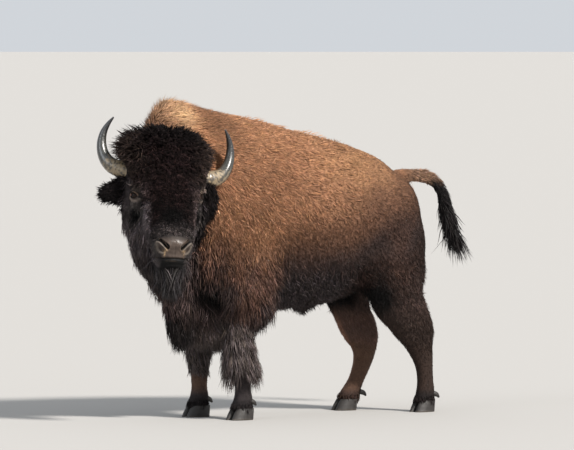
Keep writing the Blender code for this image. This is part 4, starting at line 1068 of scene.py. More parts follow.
def flow_of(p, nrm):
    """The way the hair lies."""
    x, y, z = p.T
    ax = np.abs(x)
    cl, cf, cu = crown_of(p)
    t, n, lat, up = face_of(p)
    top = np.interp(y, TRUNK_Y, TRUNK_TOP)
    down = smooth(top - z, 0.02, 0.62)
    a = np.radians(12 + 48 * down + 22 * smooth(y, -0.25, -0.60) * smooth(z, 1.25, 0.85))
    a = a + 0.30 * rough_noise(p, 0.16, 11) + 0.22 * rough_noise(p, 0.05, 12)
    d = np.stack([np.zeros_like(a), np.cos(a), -np.sin(a)], 1)
    # legs: straight down
    leg = smooth(z, 0.66, 0.50) * smooth(np.abs(ax - 0.17), 0.20, 0.12)
    leg_d = np.stack([0.05 * np.sign(x), 0.22 + 0 * x, -np.ones_like(x)], 1)
    d = d * (1 - leg[:, None]) + leg_d * leg[:, None]
    # thighs: down and a little back
    thigh = smooth(y, 0.30, 0.50) * smooth(z, 1.15, 0.90)
    d = d * (1 - 0.7 * thigh[:, None]) + np.stack([0 * x, 0.35 + 0 * x, -1 + 0 * x], 1) * 0.7 * thigh[:, None]
    # chest and throat: down
    front = smooth(-y - 0.80 + 0.6 * ax + 0.3 * (0.9 - z), -0.06, 0.06) * smooth(z, 1.35, 1.10)
    d = d * (1 - front[:, None]) + np.array([0, 0.10, -1.0]) * front[:, None]
    # tail
    tail = smooth(y, 0.74, 0.80) * smooth(z, 0.60, 0.75)
    td = np.stack([0.06 + 0 * x, smooth(z, 1.0, 1.22) + 0.30, -1.1 * smooth(y, 0.80, 0.93)], 1)
    d = d * (1 - tail[:, None]) + td * tail[:, None]
    # head: from the crown outwards, then down the face
    pole = hp(0, -0.10, 0.30)
    radial = unit(p - pole)
    face_down = np.array([0.0, math.cos(SLOPE), -math.sin(SLOPE)]) @ FA
    hd = radial * 0.9 + np.array([0, 0, -0.35])
    faceward = smooth(t, 0.02, 0.20) * smooth(n, -0.30, -0.10)
    hd = hd * (1 - faceward[:, None]) + (face_down + 0.35 * np.sign(lat)[:, None] * bell(np.abs(lat), 0.14, 0.07)[:, None] * FA[0]) * faceward[:, None]
    jaw = smooth(up, -0.14, -0.24) * smooth(n, -0.10, -0.16)
    hd = hd * (1 - jaw[:, None]) + (np.array([0, 0, -1.0]) - 0.25 * FA[1]) * jaw[:, None]
    ear = ear_mask(p)
    ear_d = np.where((cl > 0)[:, None], -1.0 * HA[2] + 0.35 * HA[0], -HA[0] - 0.15 * HA[2])
    hd = hd * (1 - ear[:, None]) + ear_d * ear[:, None]
    head = on_head(p)[:, None]
    d = d * (1 - head) + hd * head
    d = d - nrm * dots(d, nrm)[:, None]
    return unit(d)


# ---------------------------------------------------------------- tufts and locks
class Skin:
    def __init__(self, v, f):
        self.v, self.f = v, f
        self.n = normals_of(v, f)
        self.area = np.linalg.norm(np.cross(v[f[:, 1]] - v[f[:, 0]], v[f[:, 2]] - v[f[:, 0]]), axis=1) / 2
        self.uv = None            # per face corner, set once the skin is unwrapped

    def roots(self, density, seed):
        """Even-handed places for density(points) tufts a square metre."""
        rng = np.random.default_rng(seed)
        want = self.area * density[self.f].mean(1)
        total = np.cumsum(want)
        count = int(total[-1])
        at = (np.arange(count) + rng.random(count)) * (total[-1] / count)
        face = np.searchsorted(total, at).clip(0, len(self.f) - 1)
        a, b = rng.random(count), rng.random(count)
        flip = a + b > 1
        a, b = np.where(flip, 1 - a, a), np.where(flip, 1 - b, b)
        w = np.stack([1 - a - b, a, b], 1)[..., None]
        tri = self.f[face]
        p = (self.v[tri] * w).sum(1)
        nrm = unit((self.n[tri] * w).sum(1))
        uv = (self.uv[face] * w).sum(1)
        return p, nrm, uv, rng


    def uv_near(self, points):
        """Where points near the skin fall on its map."""
        first = np.zeros(len(self.v), int)
        first[self.f.ravel()] = np.arange(self.f.size)
        return self.uv.reshape(-1, 2)[first[nearest(points, self.v)]]


def nearest(points, centres):
    tree = kdtree.KDTree(len(centres))
    for k, c in enumerate(centres):
        tree.insert(c, k)
    tree.balance()
    return np.array([tree.find(q)[1] for q in points])


def grow(roots, length, width, lift, *, rings=1, tint=None, lift_end=None, yaw=0.2, curl=0.0, turns=1.5,
         gravity=0.0, clump=0.0, clump_size=0.04, thick=0.45, root_shade=0.5, tip_pale_and_lit=1.25, vary=0.18,
         flow=None, tip_mix=None, sink=0.004, stay=0.15, hue=0.06, peak=0.34, mottle=0.4):
    """Closed, pointed tufts of three sides, each bent along its path over the skin.

    length, width and lift (radians off the skin) are numbers or one for each root.
    """
    p, nrm, uv, rng = roots
    m = len(p)
    length = np.broadcast_to(length, m) * rng.uniform(0.72, 1.28, m)
    width = np.broadcast_to(width, m) * rng.uniform(0.70, 1.30, m)
    lift = np.broadcast_to(lift, m) + rng.normal(0, 0.12, m)
    lift_end = lift * 0.35 if lift_end is None else np.broadcast_to(lift_end, m) + rng.normal(0, 0.12, m)
    d = flow_of(p, nrm) if flow is None else flow
    turn = rng.normal(0, 1, m) * yaw
    side = np.cross(nrm, d)
    d = d * np.cos(turn)[:, None] + side * np.sin(turn)[:, None]
    side = unit(np.cross(nrm, d))
    phase = rng.uniform(0, 2 * math.pi, m)
    hand = np.where(rng.random(m) < 0.5, -1.0, 1.0)
    if rings == 0:                                 # a plain spike on a buried foot
        stops = [0.0, 1.0]
    elif rings == 1:
        stops = [0.0, peak, 1.0]
    else:
        stops = [0.0] + list(0.10 + 0.90 * np.linspace(0, 1, rings + 1)[:-1] ** 1.05) + [1.0]
    here = p - nrm * sink
    path, dirs = [here], []
    fine = 3
    for k in range(1, len(stops)):
        for j in range(fine):
            s = stops[k - 1] + (stops[k] - stops[k - 1]) * (j + 0.5) / fine
            step = (stops[k] - stops[k - 1]) / fine * length
            up = lift + (lift_end - lift) * s + curl * 0.6 * np.cos(2 * math.pi * turns * s + phase)
            out = curl * hand * np.sin(2 * math.pi * turns * s + phase)
            way = (d * np.cos(out)[:, None] + side * np.sin(out)[:, None]) * np.cos(up)[:, None] + nrm * np.sin(up)[:, None]
            way = way + np.array([0, 0, -1.0]) * (np.broadcast_to(gravity, m) * s)[:, None]
            way = unit(way)
            here = here + way * step[:, None]
            under = dots(here - p, nrm)
            least = stay * width + 0.02 * length * s
            here = here + nrm * np.clip(least - under, 0, None)[:, None] * (gravity is None or 1.0) * np.where(
                np.broadcast_to(gravity, m) > 1.2, 0.25, 1.0)[:, None]
        path.append(here)
        dirs.append(way)
    path = np.stack(path, 1)                       # m, rings + 2, 3
    s = np.array(stops)
    if clump > 0:
        centres = p[rng.random(m) < (0.9 * (width.mean() * 2.2 / clump_size) ** 2 + 1e-3)]
        if len(centres) > 3:
            near = centres[nearest(p, centres)]
            pull = (near - p) * rng.uniform(0.5, 1.0, m)[:, None] * clump
            path = path + pull[:, None, :] * (s**1.3)[None, :, None]
    if rings == 0:
        wide = np.array([1.0, 0])
    elif rings == 1:
        wide = np.array([0, 1.0, 0])
    else:
        wide = np.sin(np.clip(s / 0.30, 0, 1) * math.pi / 2) * (1 - np.clip((s - 0.30) / 0.70, 0, 1) ** 1.7)
    plain = rings == 0
    verts = [] if plain else [path[:, :1]]
    for k in range(0 if plain else 1, rings + 1):
        way = dirs[k]
        sd = unit(np.cross(way, nrm) + 1e-6)
        ab = unit(np.cross(sd, way))
        w = (width * wide[k])[:, None]
        c = path[:, k]
        verts.append(np.stack([c - sd * w / 2 - ab * w * thick / 3, c + sd * w / 2 - ab * w * thick / 3,
                               c + ab * w * thick * 2 / 3], 1))
    verts.append(path[:, -1:])
    verts = np.concatenate(verts, 1)               # m, 3 rings + 2, 3
    nv = 4 if plain else 3 * rings + 2
    tris = [(0, 1, 2), (0, 1, 3), (1, 2, 3), (2, 0, 3)] if plain else [(0, 2, 1), (0, 3, 2), (0, 1, 3)]
    for k in range(rings - 1):
        a, b = 1 + 3 * k, 4 + 3 * k
        for i in range(3):
            j = (i + 1) % 3
            tris += [(a + i, a + j, b + j), (a + i, b + j, b + i)]
    a = 1 + 3 * (rings - 1)
    if plain:
        tris[0] = (0, 2, 1)
    else:
        tris += [(a, a + 1, nv - 1), (a + 1, a + 2, nv - 1), (a + 2, a, nv - 1)]
    tris = np.array(tris)
    # outwards: the first side must face away from the middle line
    v0 = verts[0]
    mid = v0.mean(0)
    tri = v0[tris]
    vol = dots(tri[:, 0] - mid, np.cross(tri[:, 1] - mid, tri[:, 2] - mid)).sum()
    if vol < 0:
        tris = tris[:, ::-1]
    faces = (tris[None] + (np.arange(m) * nv)[:, None, None]).reshape(-1, 3)
    # colour: painted shade towards the root, and tips lighter, partly paler hair and partly painted light; each tuft
    # its own
    base = tint_of(p, nrm) if tint is None else tint
    own = np.exp(rng.normal(0, vary, m) + mottle * (rough_noise(p, 0.017, 91) + 0.5 * noise(p, 0.009, 97)) - 0.05 * np.square(mottle))[:, None]
    warm = 1 + np.stack([0.6 * rng.normal(0, hue, m), 0 * phase, -rng.normal(0, hue, m)], 1)
    tone = base * own * warm
    ring_s = np.array([0.0, 0.0, 0.0, 1.0]) if plain else np.concatenate([[0.0], np.repeat(s[1:-1], 3), [1.0]])
    ramp = root_shade + (tip_pale_and_lit - root_shade) * ring_s**0.8
    # painted light and shade: each tuft's upper edge lighter, its underside darker
    ridge = np.array([0.92, 0.92, 1.10, 1.0]) if plain else np.concatenate([[1.0], np.tile([0.92, 0.92, 1.10], rings), [1.0]])
    col = tone[:, None, :] * (ramp * ridge)[None, :, None]
    if tip_mix is not None:
        k = (tip_mix[1] * ring_s[None, :] ** 2)[..., None] if np.ndim(tip_mix[1]) == 0 else tip_mix[1][:, None, None] * (ring_s**2)[None, :, None]
        col = col * (1 - k) + np.asarray(tip_mix[0]) * own[:, None, :] * k
    across = np.array([0.0, 1.0, 0.5, 0.5]) if plain else np.concatenate([[0.5], np.tile([0.0, 1.0, 0.5], rings), [0.5]])
    patch = uv[:, None, :] + 0.003 * np.stack([across - 0.5, ring_s - 0.5], 1)[None]
    strand = np.stack([np.broadcast_to(across, (m, nv)) * (width / 0.006)[:, None] + rng.uniform(0, 50, m)[:, None],
                       ring_s[None, :] * (length / 0.03)[:, None] + rng.uniform(0, 50, m)[:, None]], 2)
    return {"v": verts.reshape(-1, 3), "f": faces, "c": np.clip(col, 0.0005, 1).reshape(-1, 3),
            "bake": patch.reshape(-1, 2), "strand": strand.reshape(-1, 2)}


def merged(coats):
    out = {}
    base = 0
    faces = []
    for c in coats:
        faces.append(c["f"] + base)
        base += len(c["v"])
    for key in ("v", "c", "bake", "strand"):
        out[key] = np.concatenate([c[key] for c in coats])
    out["f"] = np.concatenate(faces)
    return out


MADE = []


def coat_piece(name, coat, material):
    """A piece of coat, with its colours, its map for baking and its strands' own map."""
    obj = mesh_object(name, placed(coat["v"]), coat["f"])
    mesh = obj.data
    colour = mesh.attributes.new("tint", "FLOAT_COLOR", "POINT")
    rgba = np.ones((len(coat["v"]), 4), np.float32)
    rgba[:, :3] = coat["c"]
    colour.data.foreach_set("color", rgba.ravel())
    corner = coat["f"].ravel()
    for key, label in (("bake", "OFBake"), ("strand", "Strand")):
        layer = mesh.uv_layers.new(name=label)
        layer.data.foreach_set("uv", coat[key][corner].astype(np.float32).ravel())
    mesh.uv_layers.active = mesh.uv_layers["OFBake"]
    mesh.materials.append(material)
    MADE.append((obj, len(coat["f"])))
    return obj


# ---------------------------------------------------------------- materials
def start_material(name):
    m = bpy.data.materials.new(name)
    m.use_nodes = True
    tree = m.node_tree
    shader = tree.nodes["Principled BSDF"]

    def node(kind, **values):
        n = tree.nodes.new(kind)
        for k, v in values.items():
            if k in n.inputs:
                n.inputs[k].default_value = v
            else:
                setattr(n, k, v)
        return n

    return m, tree, shader, node


def ranged(tree, node, value, low, high, start=0.0, end=1.0):
    """value from start..end to low..high."""
    r = node("ShaderNodeMapRange")
    r.inputs["From Min"].default_value = start
    r.inputs["From Max"].default_value = end
    r.inputs["To Min"].default_value = low
    r.inputs["To Max"].default_value = high
    tree.links.new(value, r.inputs["Value"])
    return r.outputs["Result"]


def times(tree, node, colour, factor):
    """A colour multiplied by a number."""
    m = node("ShaderNodeVectorMath", operation="SCALE")
    tree.links.new(colour, m.inputs[0])
    tree.links.new(factor, m.inputs["Scale"])
    return m.outputs["Vector"]


def fur_material(name, rough=(0.55, 0.80), sheen=0.02, streak=(0.58, 1.42), shine=0.09):
    """Hair in tufts: the tuft's own colour, streaked along its length."""
    m, tree, shader, node = start_material(name)
    new = tree.links.new
    tint = node("ShaderNodeAttribute", attribute_name="tint")
    uv = node("ShaderNodeUVMap", uv_map="Strand")
    stretch = node("ShaderNodeMapping")
    stretch.inputs["Scale"].default_value = (5.5, 0.50, 1.0)
    new(uv.outputs["UV"], stretch.inputs["Vector"])
    strands = node("ShaderNodeTexNoise", Scale=1.0, Detail=3.0, Roughness=0.6)
    new(stretch.outputs["Vector"], strands.inputs["Vector"])
    place = node("ShaderNodeTexCoord")
    spots = node("ShaderNodeTexNoise", Scale=95.0, Detail=3.0, Roughness=0.6)
    new(place.outputs["Object"], spots.inputs["Vector"])
    colour = times(tree, node, tint.outputs["Color"], ranged(tree, node, strands.outputs["Fac"], streak[0], streak[1], 0.28, 0.72))
    colour = times(tree, node, colour, ranged(tree, node, spots.outputs["Fac"], 0.80, 1.20, 0.3, 0.7))
    new(colour, shader.inputs["Base Color"])
    new(ranged(tree, node, strands.outputs["Fac"], rough[0], rough[1], 0.3, 0.7), shader.inputs["Roughness"])
    bump = node("ShaderNodeBump", Strength=0.70, Distance=0.0014)
    new(strands.outputs["Fac"], bump.inputs["Height"])
    new(bump.outputs["Normal"], shader.inputs["Normal"])
    shader.inputs["Sheen Weight"].default_value = sheen
    shader.inputs["Sheen Roughness"].default_value = 0.45
    shader.inputs["Specular IOR Level"].default_value = shine
    return m


def skin_material():
    """The hide: short fur of the region's colour, and the damp bare nose, lips and lids."""
    m, tree, shader, node = start_material("hide")
    new = tree.links.new
    tint = node("ShaderNodeAttribute", attribute_name="tint")
    bare = node("ShaderNodeAttribute", attribute_name="bare")
    place = node("ShaderNodeTexCoord")
    hairs = node("ShaderNodeTexNoise", Scale=260.0, Detail=4.0, Roughness=0.65, Distortion=0.6)
    clumps = node("ShaderNodeTexNoise", Scale=42.0, Detail=3.0, Roughness=0.6)
    pores = node("ShaderNodeTexVoronoi", Scale=330.0)
    pores.feature = "SMOOTH_F1"
    for n in (hairs, clumps, pores):
        new(place.outputs["Object"], n.inputs["Vector"])
    hair_tone = ranged(tree, node, hairs.outputs["Fac"], 0.62, 1.30, 0.28, 0.72)
    clump_tone = ranged(tree, node, clumps.outputs["Fac"], 0.80, 1.18, 0.3, 0.7)
    pore_tone = ranged(tree, node, pores.outputs["Distance"], 1.12, 0.78, 0.0, 0.9)
    tone = node("ShaderNodeMix", data_type="FLOAT")
    new(bare.outputs["Fac"], tone.inputs["Factor"])
    new(hair_tone, tone.inputs[2])
    new(pore_tone, tone.inputs[3])
    colour = times(tree, node, tint.outputs["Color"], tone.outputs[0])
    colour = times(tree, node, colour, clump_tone)
    new(colour, shader.inputs["Base Color"])
    wet = ranged(tree, node, clumps.outputs["Fac"], 0.10, 0.22, 0.35, 0.65)
    dry = ranged(tree, node, hairs.outputs["Fac"], 0.72, 0.95, 0.3, 0.7)
    rough = node("ShaderNodeMix", data_type="FLOAT")
    damp = node("ShaderNodeAttribute", attribute_name="damp")
    new(damp.outputs["Fac"], rough.inputs["Factor"])
    new(dry, rough.inputs[2])
    new(wet, rough.inputs[3])
    new(rough.outputs[0], shader.inputs["Roughness"])
    height = node("ShaderNodeMix", data_type="FLOAT")
    new(bare.outputs["Fac"], height.inputs["Factor"])
    new(hairs.outputs["Fac"], height.inputs[2])
    new(ranged(tree, node, pores.outputs["Distance"], 0.85, 0.25, 0.0, 0.9), height.inputs[3])
    bump = node("ShaderNodeBump", Strength=0.55, Distance=0.0022)
    new(height.outputs[0], bump.inputs["Height"])
    new(bump.outputs["Normal"], shader.inputs["Normal"])
    shader.inputs["Specular IOR Level"].default_value = 0.20
    return m


def horn_material():
    m, tree, shader, node = start_material("horn_keratin")
    new = tree.links.new
    tint = node("ShaderNodeAttribute", attribute_name="tint")
    place = node("ShaderNodeTexCoord")
    grain = node("ShaderNodeTexNoise", Scale=190.0, Detail=4.0, Roughness=0.6)
    worn = node("ShaderNodeTexNoise", Scale=38.0, Detail=3.0, Roughness=0.6)
    for n in (grain, worn):
        new(place.outputs["Object"], n.inputs["Vector"])
    colour = times(tree, node, tint.outputs["Color"], ranged(tree, node, grain.outputs["Fac"], 0.78, 1.22, 0.3, 0.7))
    new(colour, shader.inputs["Base Color"])
    base = node("ShaderNodeAttribute", attribute_name="bare")      # 1 at the dull base, 0 at the polished tip
    polish = ranged(tree, node, worn.outputs["Fac"], 0.22, 0.36, 0.35, 0.65)
    growth = node("ShaderNodeAttribute", attribute_name="along")
    rings = node("ShaderNodeTexNoise", Scale=1.0, Detail=2.0, Roughness=0.6)
    rings.noise_dimensions = "1D"
    new(ranged(tree, node, growth.outputs["Fac"], 0.0, 210.0), rings.inputs["W"])
    rough = node("ShaderNodeMix", data_type="FLOAT")
    new(base.outputs["Fac"], rough.inputs["Factor"])
    new(polish, rough.inputs[2])
    rough.inputs[3].default_value = 0.55
    new(rough.outputs[0], shader.inputs["Roughness"])
    bump = node("ShaderNodeBump", Strength=0.25, Distance=0.0008)
    new(grain.outputs["Fac"], bump.inputs["Height"])
    worn_rings = node("ShaderNodeBump", Strength=0.60, Distance=0.0011)
    new(rings.outputs["Fac"], worn_rings.inputs["Height"])
    new(bump.outputs["Normal"], worn_rings.inputs["Normal"])
    new(worn_rings.outputs["Normal"], shader.inputs["Normal"])
    shader.inputs["Coat Weight"].default_value = 0.75
    shader.inputs["Coat Roughness"].default_value = 0.25
    return m


def hoof_material():
    m, tree, shader, node = start_material("hoof_keratin")
    new = tree.links.new
    tint = node("ShaderNodeAttribute", attribute_name="tint")
    place = node("ShaderNodeTexCoord")
    bands = node("ShaderNodeMapping")
    bands.inputs["Scale"].default_value = (6.0, 6.0, 90.0)
    new(place.outputs["Object"], bands.inputs["Vector"])
    rings = node("ShaderNodeTexNoise", Scale=2.4, Detail=4.0, Roughness=0.6)
    new(bands.outputs["Vector"], rings.inputs["Vector"])
    dust = node("ShaderNodeTexNoise", Scale=60.0, Detail=4.0, Roughness=0.65)
    new(place.outputs["Object"], dust.inputs["Vector"])
    colour = times(tree, node, tint.outputs["Color"], ranged(tree, node, rings.outputs["Fac"], 0.80, 1.22, 0.3, 0.7))
    colour = times(tree, node, colour, ranged(tree, node, dust.outputs["Fac"], 0.70, 1.40, 0.3, 0.7))
    new(colour, shader.inputs["Base Color"])
    new(ranged(tree, node, dust.outputs["Fac"], 0.42, 0.70, 0.3, 0.7), shader.inputs["Roughness"])
    bump = node("ShaderNodeBump", Strength=0.4, Distance=0.0015)
    new(rings.outputs["Fac"], bump.inputs["Height"])
    new(bump.outputs["Normal"], shader.inputs["Normal"])
    return m


def eye_material():
    m, tree, shader, node = start_material("eye_ball")
    new = tree.links.new
    tint = node("ShaderNodeAttribute", attribute_name="tint")
    place = node("ShaderNodeTexCoord")
    iris = node("ShaderNodeTexNoise", Scale=420.0, Detail=3.0)
    new(place.outputs["Object"], iris.inputs["Vector"])
    colour = times(tree, node, tint.outputs["Color"], ranged(tree, node, iris.outputs["Fac"], 0.7, 1.3, 0.3, 0.7))
    new(colour, shader.inputs["Base Color"])
    new(ranged(tree, node, iris.outputs["Fac"], 0.05, 0.09, 0.3, 0.7), shader.inputs["Roughness"])
    shader.inputs["Coat Weight"].default_value = 0.18
    shader.inputs["Coat Roughness"].default_value = 0.02
    shader.inputs["Specular IOR Level"].default_value = 0.05
    return m


def painted(obj, colours, bare=None):
    mesh = obj.data
    layer = mesh.attributes.new("tint", "FLOAT_COLOR", "POINT")
    rgba = np.ones((len(mesh.vertices), 4), np.float32)
    rgba[:, :3] = colours
    layer.data.foreach_set("color", rgba.ravel())
    if bare is not None:
        layer = mesh.attributes.new("bare", "FLOAT", "POINT")
        layer.data.foreach_set("value", np.asarray(bare, np.float32))


# ---------------------------------------------------------------- horns, eyes and hooves
def full_horn(sgn, n=56, steps=170):
    """The horn with its growth rings and its scaly base: points, faces, colours, dullness."""
    st = [tuple(hp(sgn * lat, f, u)) + (r,) * 3 for lat, f, u, r in HORN]
    v, f = tube(st, HA[1], n=n, steps=steps)
    rings = v[:steps * n].reshape(steps, n, 3)
    mid = rings.mean(1, keepdims=True)
    along = np.concatenate([[0], np.cumsum(np.linalg.norm(np.diff(mid[:, 0], axis=0), axis=1))])
    s = along / along[-1]
    a = np.linspace(0, 2 * math.pi, n, endpoint=False)
    flat = rings.reshape(-1, 3)
    ss = np.repeat(s, n)
    base = 1 - smooth(ss + 0.05 * noise(flat, 0.02, 3), 0.30, 0.52)
    ridge = 0.016 * np.sin(ss * 150 + 1.6 * noise(flat, 0.05, 31)) * smooth(ss, 0.62, 0.10)
    scales = 0.030 * rough_noise(flat * np.array([1, 1, 1.0]), 0.010, 33) * base
    streaks = 0.010 * np.sin(7 * np.tile(a, steps) + 3 * ss) * smooth(ss, 0.9, 0.4)
    k = 1 + ridge + scales + streaks - 0.012
    v[:steps * n] = (mid + (rings - mid) * k.reshape(steps, n, 1)).reshape(-1, 3)
    col = np.broadcast_to(np.array([0.205, 0.152, 0.088]), (steps * n, 3)).copy()
    col = mix(col, np.array([0.300, 0.235, 0.145]), 0.6 * smooth(rough_noise(flat, 0.02, 36), 0.0, 0.5))
    speck = smooth(rough_noise(flat, 0.012, 35), -0.04, 0.26)
    col = mix(col, np.array([0.030, 0.024, 0.017]), 0.90 * speck)
    shaft = smooth(ss + 0.07 * noise(flat, 0.018, 37) + 0.03 * np.sin(9 * np.tile(a, steps)), 0.33, 0.50)
    grey = np.array([0.030, 0.030, 0.025]) * (1 + 0.35 * np.sin(11 * np.tile(a, steps) + 4 * ss))[:, None]
    col = col * (1 - shaft[:, None]) + grey * shaft[:, None]
    black = smooth(ss + 0.05 * noise(flat, 0.02, 38), 0.60, 0.86)
    col = mix(col, np.array([0.010, 0.010, 0.011]), black)
    col = np.concatenate([col, col[:1], col[-1:]])
    dull = np.concatenate([1 - shaft, [1.0, 0.0]])
    return v, f, np.clip(col, 0.002, 1), dull, np.concatenate([ss, [0.0, 1.0]])


def full_eye(sgn, n=56, m=40):
    """The ball, its dark iris and lying pupil, and the bulge of the cornea."""
    centre, out, along, above = eye_frame(sgn)
    u = np.linspace(0, 2 * math.pi, n, endpoint=False)
    w = np.linspace(0, math.pi, m + 2)[1:-1]
    rings = np.stack([np.stack([np.sin(q) * np.cos(u), np.sin(q) * np.sin(u), np.full(n, math.cos(q))], 1) for q in w])
    v, f = ring_mesh(rings)
    v = unit(v)
    x, y, z = v.T                                   # z is outwards
    r = 1 + 0.045 * smooth(z, 0.80, 0.96)
    iris = smooth(z, 0.36, 0.46)
    pupil = smooth(np.sqrt((x / 0.34) ** 2 + (y / 0.19) ** 2), 1.12, 0.92) * (z > 0)
    col = np.broadcast_to(np.array([0.060, 0.035, 0.026]), (len(v), 3)).copy()
    col = mix(col, np.array([0.014, 0.0075, 0.0050]), iris)
    col = mix(col, np.array([0.003, 0.003, 0.004]), pupil)
    p = centre + (v * r[:, None] * (EYE_RADIUS - 0.0004)) @ np.array([along, above, out])
    return p, f, col


def full_claw(foot, sgn, n=44):
    """A claw with a round-edged sole, faint growth rings and a worn toe."""
    x0, y0, turn = FEET[foot]
    k = 0.93 if foot.startswith("hind") else 1.0
    a = np.linspace(0, 2 * math.pi, n, endpoint=False)
    c, s = np.cos(a), np.sin(a)
    levels = [0.0, 0.0012, 0.003, 0.006] + list(np.linspace(0.009, HOOF_TOP - 0.0006, 22))
    rings = []
    for z in levels:
        f = float(np.interp(z, (0.0, 0.006, 0.032, 0.0596), (0.0, 0.12, 0.5, 1.0)))
        pull = 0.003 * max(0.0, 1 - z / 0.004) ** 2
        ring = 0.0004 * math.sin(z * 900)
        half_l = k * (CLAW_LENGTH / 2) * (1.0 - 0.24 * f) - pull + ring - 0.0006
        half_w = k * (CLAW_WIDTH / 2) * (1.0 - 0.07 * f) - pull + ring - 0.0006
        w = half_w * np.sign(c) * np.abs(c) ** 0.8
        l = half_l * np.sign(s) * np.abs(s) ** 0.85
        toe = np.clip(-l / half_l, 0, 1)
        w = w * (1 - 0.28 * toe**2)
        px = sgn * (k * CLAW_WIDTH / 2 + 0.003) + w - sgn * 0.006 * toe**2
        rings.append(np.stack([px, l + 0.020 * f - 0.004, np.full_like(px, z)], 1))
    v, f = ring_mesh(rings)
    t = math.radians(turn)
    r = np.array([[math.cos(t), math.sin(t), 0], [-math.sin(t), math.cos(t), 0], [0, 0, 1]])
    return v @ r + np.array([x0, y0, 0]), f


def full_dewclaw(foot, sgn):
    x0, y0, turn = FEET[foot]
    yb = y0 + {"hind_l": 0.072, "hind_r": 0.104}.get(foot, 0.066)
    base = np.array([x0 + sgn * 0.024, yb - 0.020, 0.098])
    tip = np.array([x0 + sgn * 0.030, yb + 0.018, 0.074])
    mid = base * 0.45 + tip * 0.55 + np.array([0, 0.004, 0.004])
    return tube([tuple(base) + (0.0125, 0.0135, 0.0135), tuple(mid) + (0.0118, 0.0125, 0.0118),
                 tuple(tip) + (0.0045, 0.0045, 0.0045)], (1, 0, 0), n=18, steps=12)


def hard_parts():
    horn_mat, hoof_mat, eye_mat = horn_material(), hoof_material(), eye_material()
    for side, sgn in (("l", 1), ("r", -1)):
        v, f, col, dull, rise = full_horn(sgn)
        v, f = outward(v, f)
        obj = mesh_object("horn_skin_" + side, placed(v), f)
        painted(obj, col, dull)
        obj.data.attributes.new("along", "FLOAT", "POINT").data.foreach_set("value", rise.astype(np.float32))
        obj.data.materials.append(horn_mat)
        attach(obj, "root")
        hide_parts("horn_" + side)
        v, f, col = full_eye(sgn)
        obj = mesh_object("eyeball_" + side, placed(v), outward(v - v.mean(0), f)[1])
        painted(obj, col)
        obj.data.materials.append(eye_mat)
        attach(obj, "root")
        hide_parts("eye_" + side)
    for foot in FEET:
        left = foot.endswith("l")
        for label, sgn in (("out", 1 if left else -1), ("in", -1 if left else 1)):
            for kind, make in (("hoof", full_claw), ("dewclaw", full_dewclaw)):
                v, f = make(foot, sgn)
                obj = mesh_object(f"{kind}_shell_{foot}_{label}", placed(v), outward(v - v.mean(0), f)[1])
                z = v[:, 2]
                col = mix(np.broadcast_to(np.array([0.0150, 0.0125, 0.0110]), (len(v), 3)).copy(),
                          np.array([0.060, 0.047, 0.035]), smooth(z, 0.012, 0.0) * (0.6 + 0.4 * noise(v, 0.01, 4)))
                painted(obj, np.clip(col, 0.005, 1))
                obj.data.materials.append(hoof_mat)
                obj.data.set_sharp_from_angle(angle=math.radians(55))
                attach(obj, "root")
                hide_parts(f"{kind}_{foot}_{label}")


# ---------------------------------------------------------------- the skin as an object
FLESH = ["barrel", "forequarter", "hindquarter", "neck", "head", "muzzle", "beard", "ear_l", "ear_r",
         "foreleg_l", "foreleg_r", "forefoot_l", "forefoot_r", "hindleg_l", "hindleg_r", "hindfoot_l",
         "hindfoot_r", "tail", "tail_switch"]


def make_skin():
    v, f = skin_mesh()
    # the feet end flat, just inside the tops of the claws
    low = v[:, 2] < 0.056
    v[low, 2] = 0.056 + (v[low, 2] - 0.056) * 0.08
    obj = mesh_object("skin", placed(v), f)
    nrm = normals_of(v, f)
    painted(obj, tint_of(v, nrm) * 0.80, bare_of(v))
    obj.data.attributes.new("damp", "FLOAT", "POINT").data.foreach_set("value", damp_of(v).astype(np.float32))
    obj.data.materials.append(skin_material())
    # an unwrap of the skin's own shape, which the coat's maps follow
    bpy.ops.object.select_all(action="DESELECT")
    obj.select_set(True)
    bpy.context.view_layer.objects.active = obj
    obj.data.uv_layers.new(name="OFBake")
    bpy.ops.object.mode_set(mode="EDIT")
    bpy.ops.mesh.select_all(action="SELECT")
    bpy.ops.uv.smart_project(angle_limit=math.radians(66), island_margin=0.002)
    bpy.ops.object.mode_set(mode="OBJECT")
    obj.select_set(False)
    uv = np.empty(len(f) * 6, np.float32)
    obj.data.uv_layers["OFBake"].data.foreach_get("uv", uv)
    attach(obj, "root")
    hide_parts(*FLESH)
    skin = Skin(v, f)
    skin.uv = uv.reshape(-1, 3, 2).astype(float)
    return skin


# ---------------------------------------------------------------- the coat, region by region
def from_horn(p, sgn):
    """Distance from the middle of a horn's foot."""
    a, b = hp(sgn * 0.150, -0.090, 0.110), hp(sgn * 0.245, -0.100, 0.100)
    s = np.clip((p - a) @ (b - a) / ((b - a) @ (b - a)), 0, 1)
    return np.linalg.norm(p - a - s[:, None] * (b - a), axis=1)


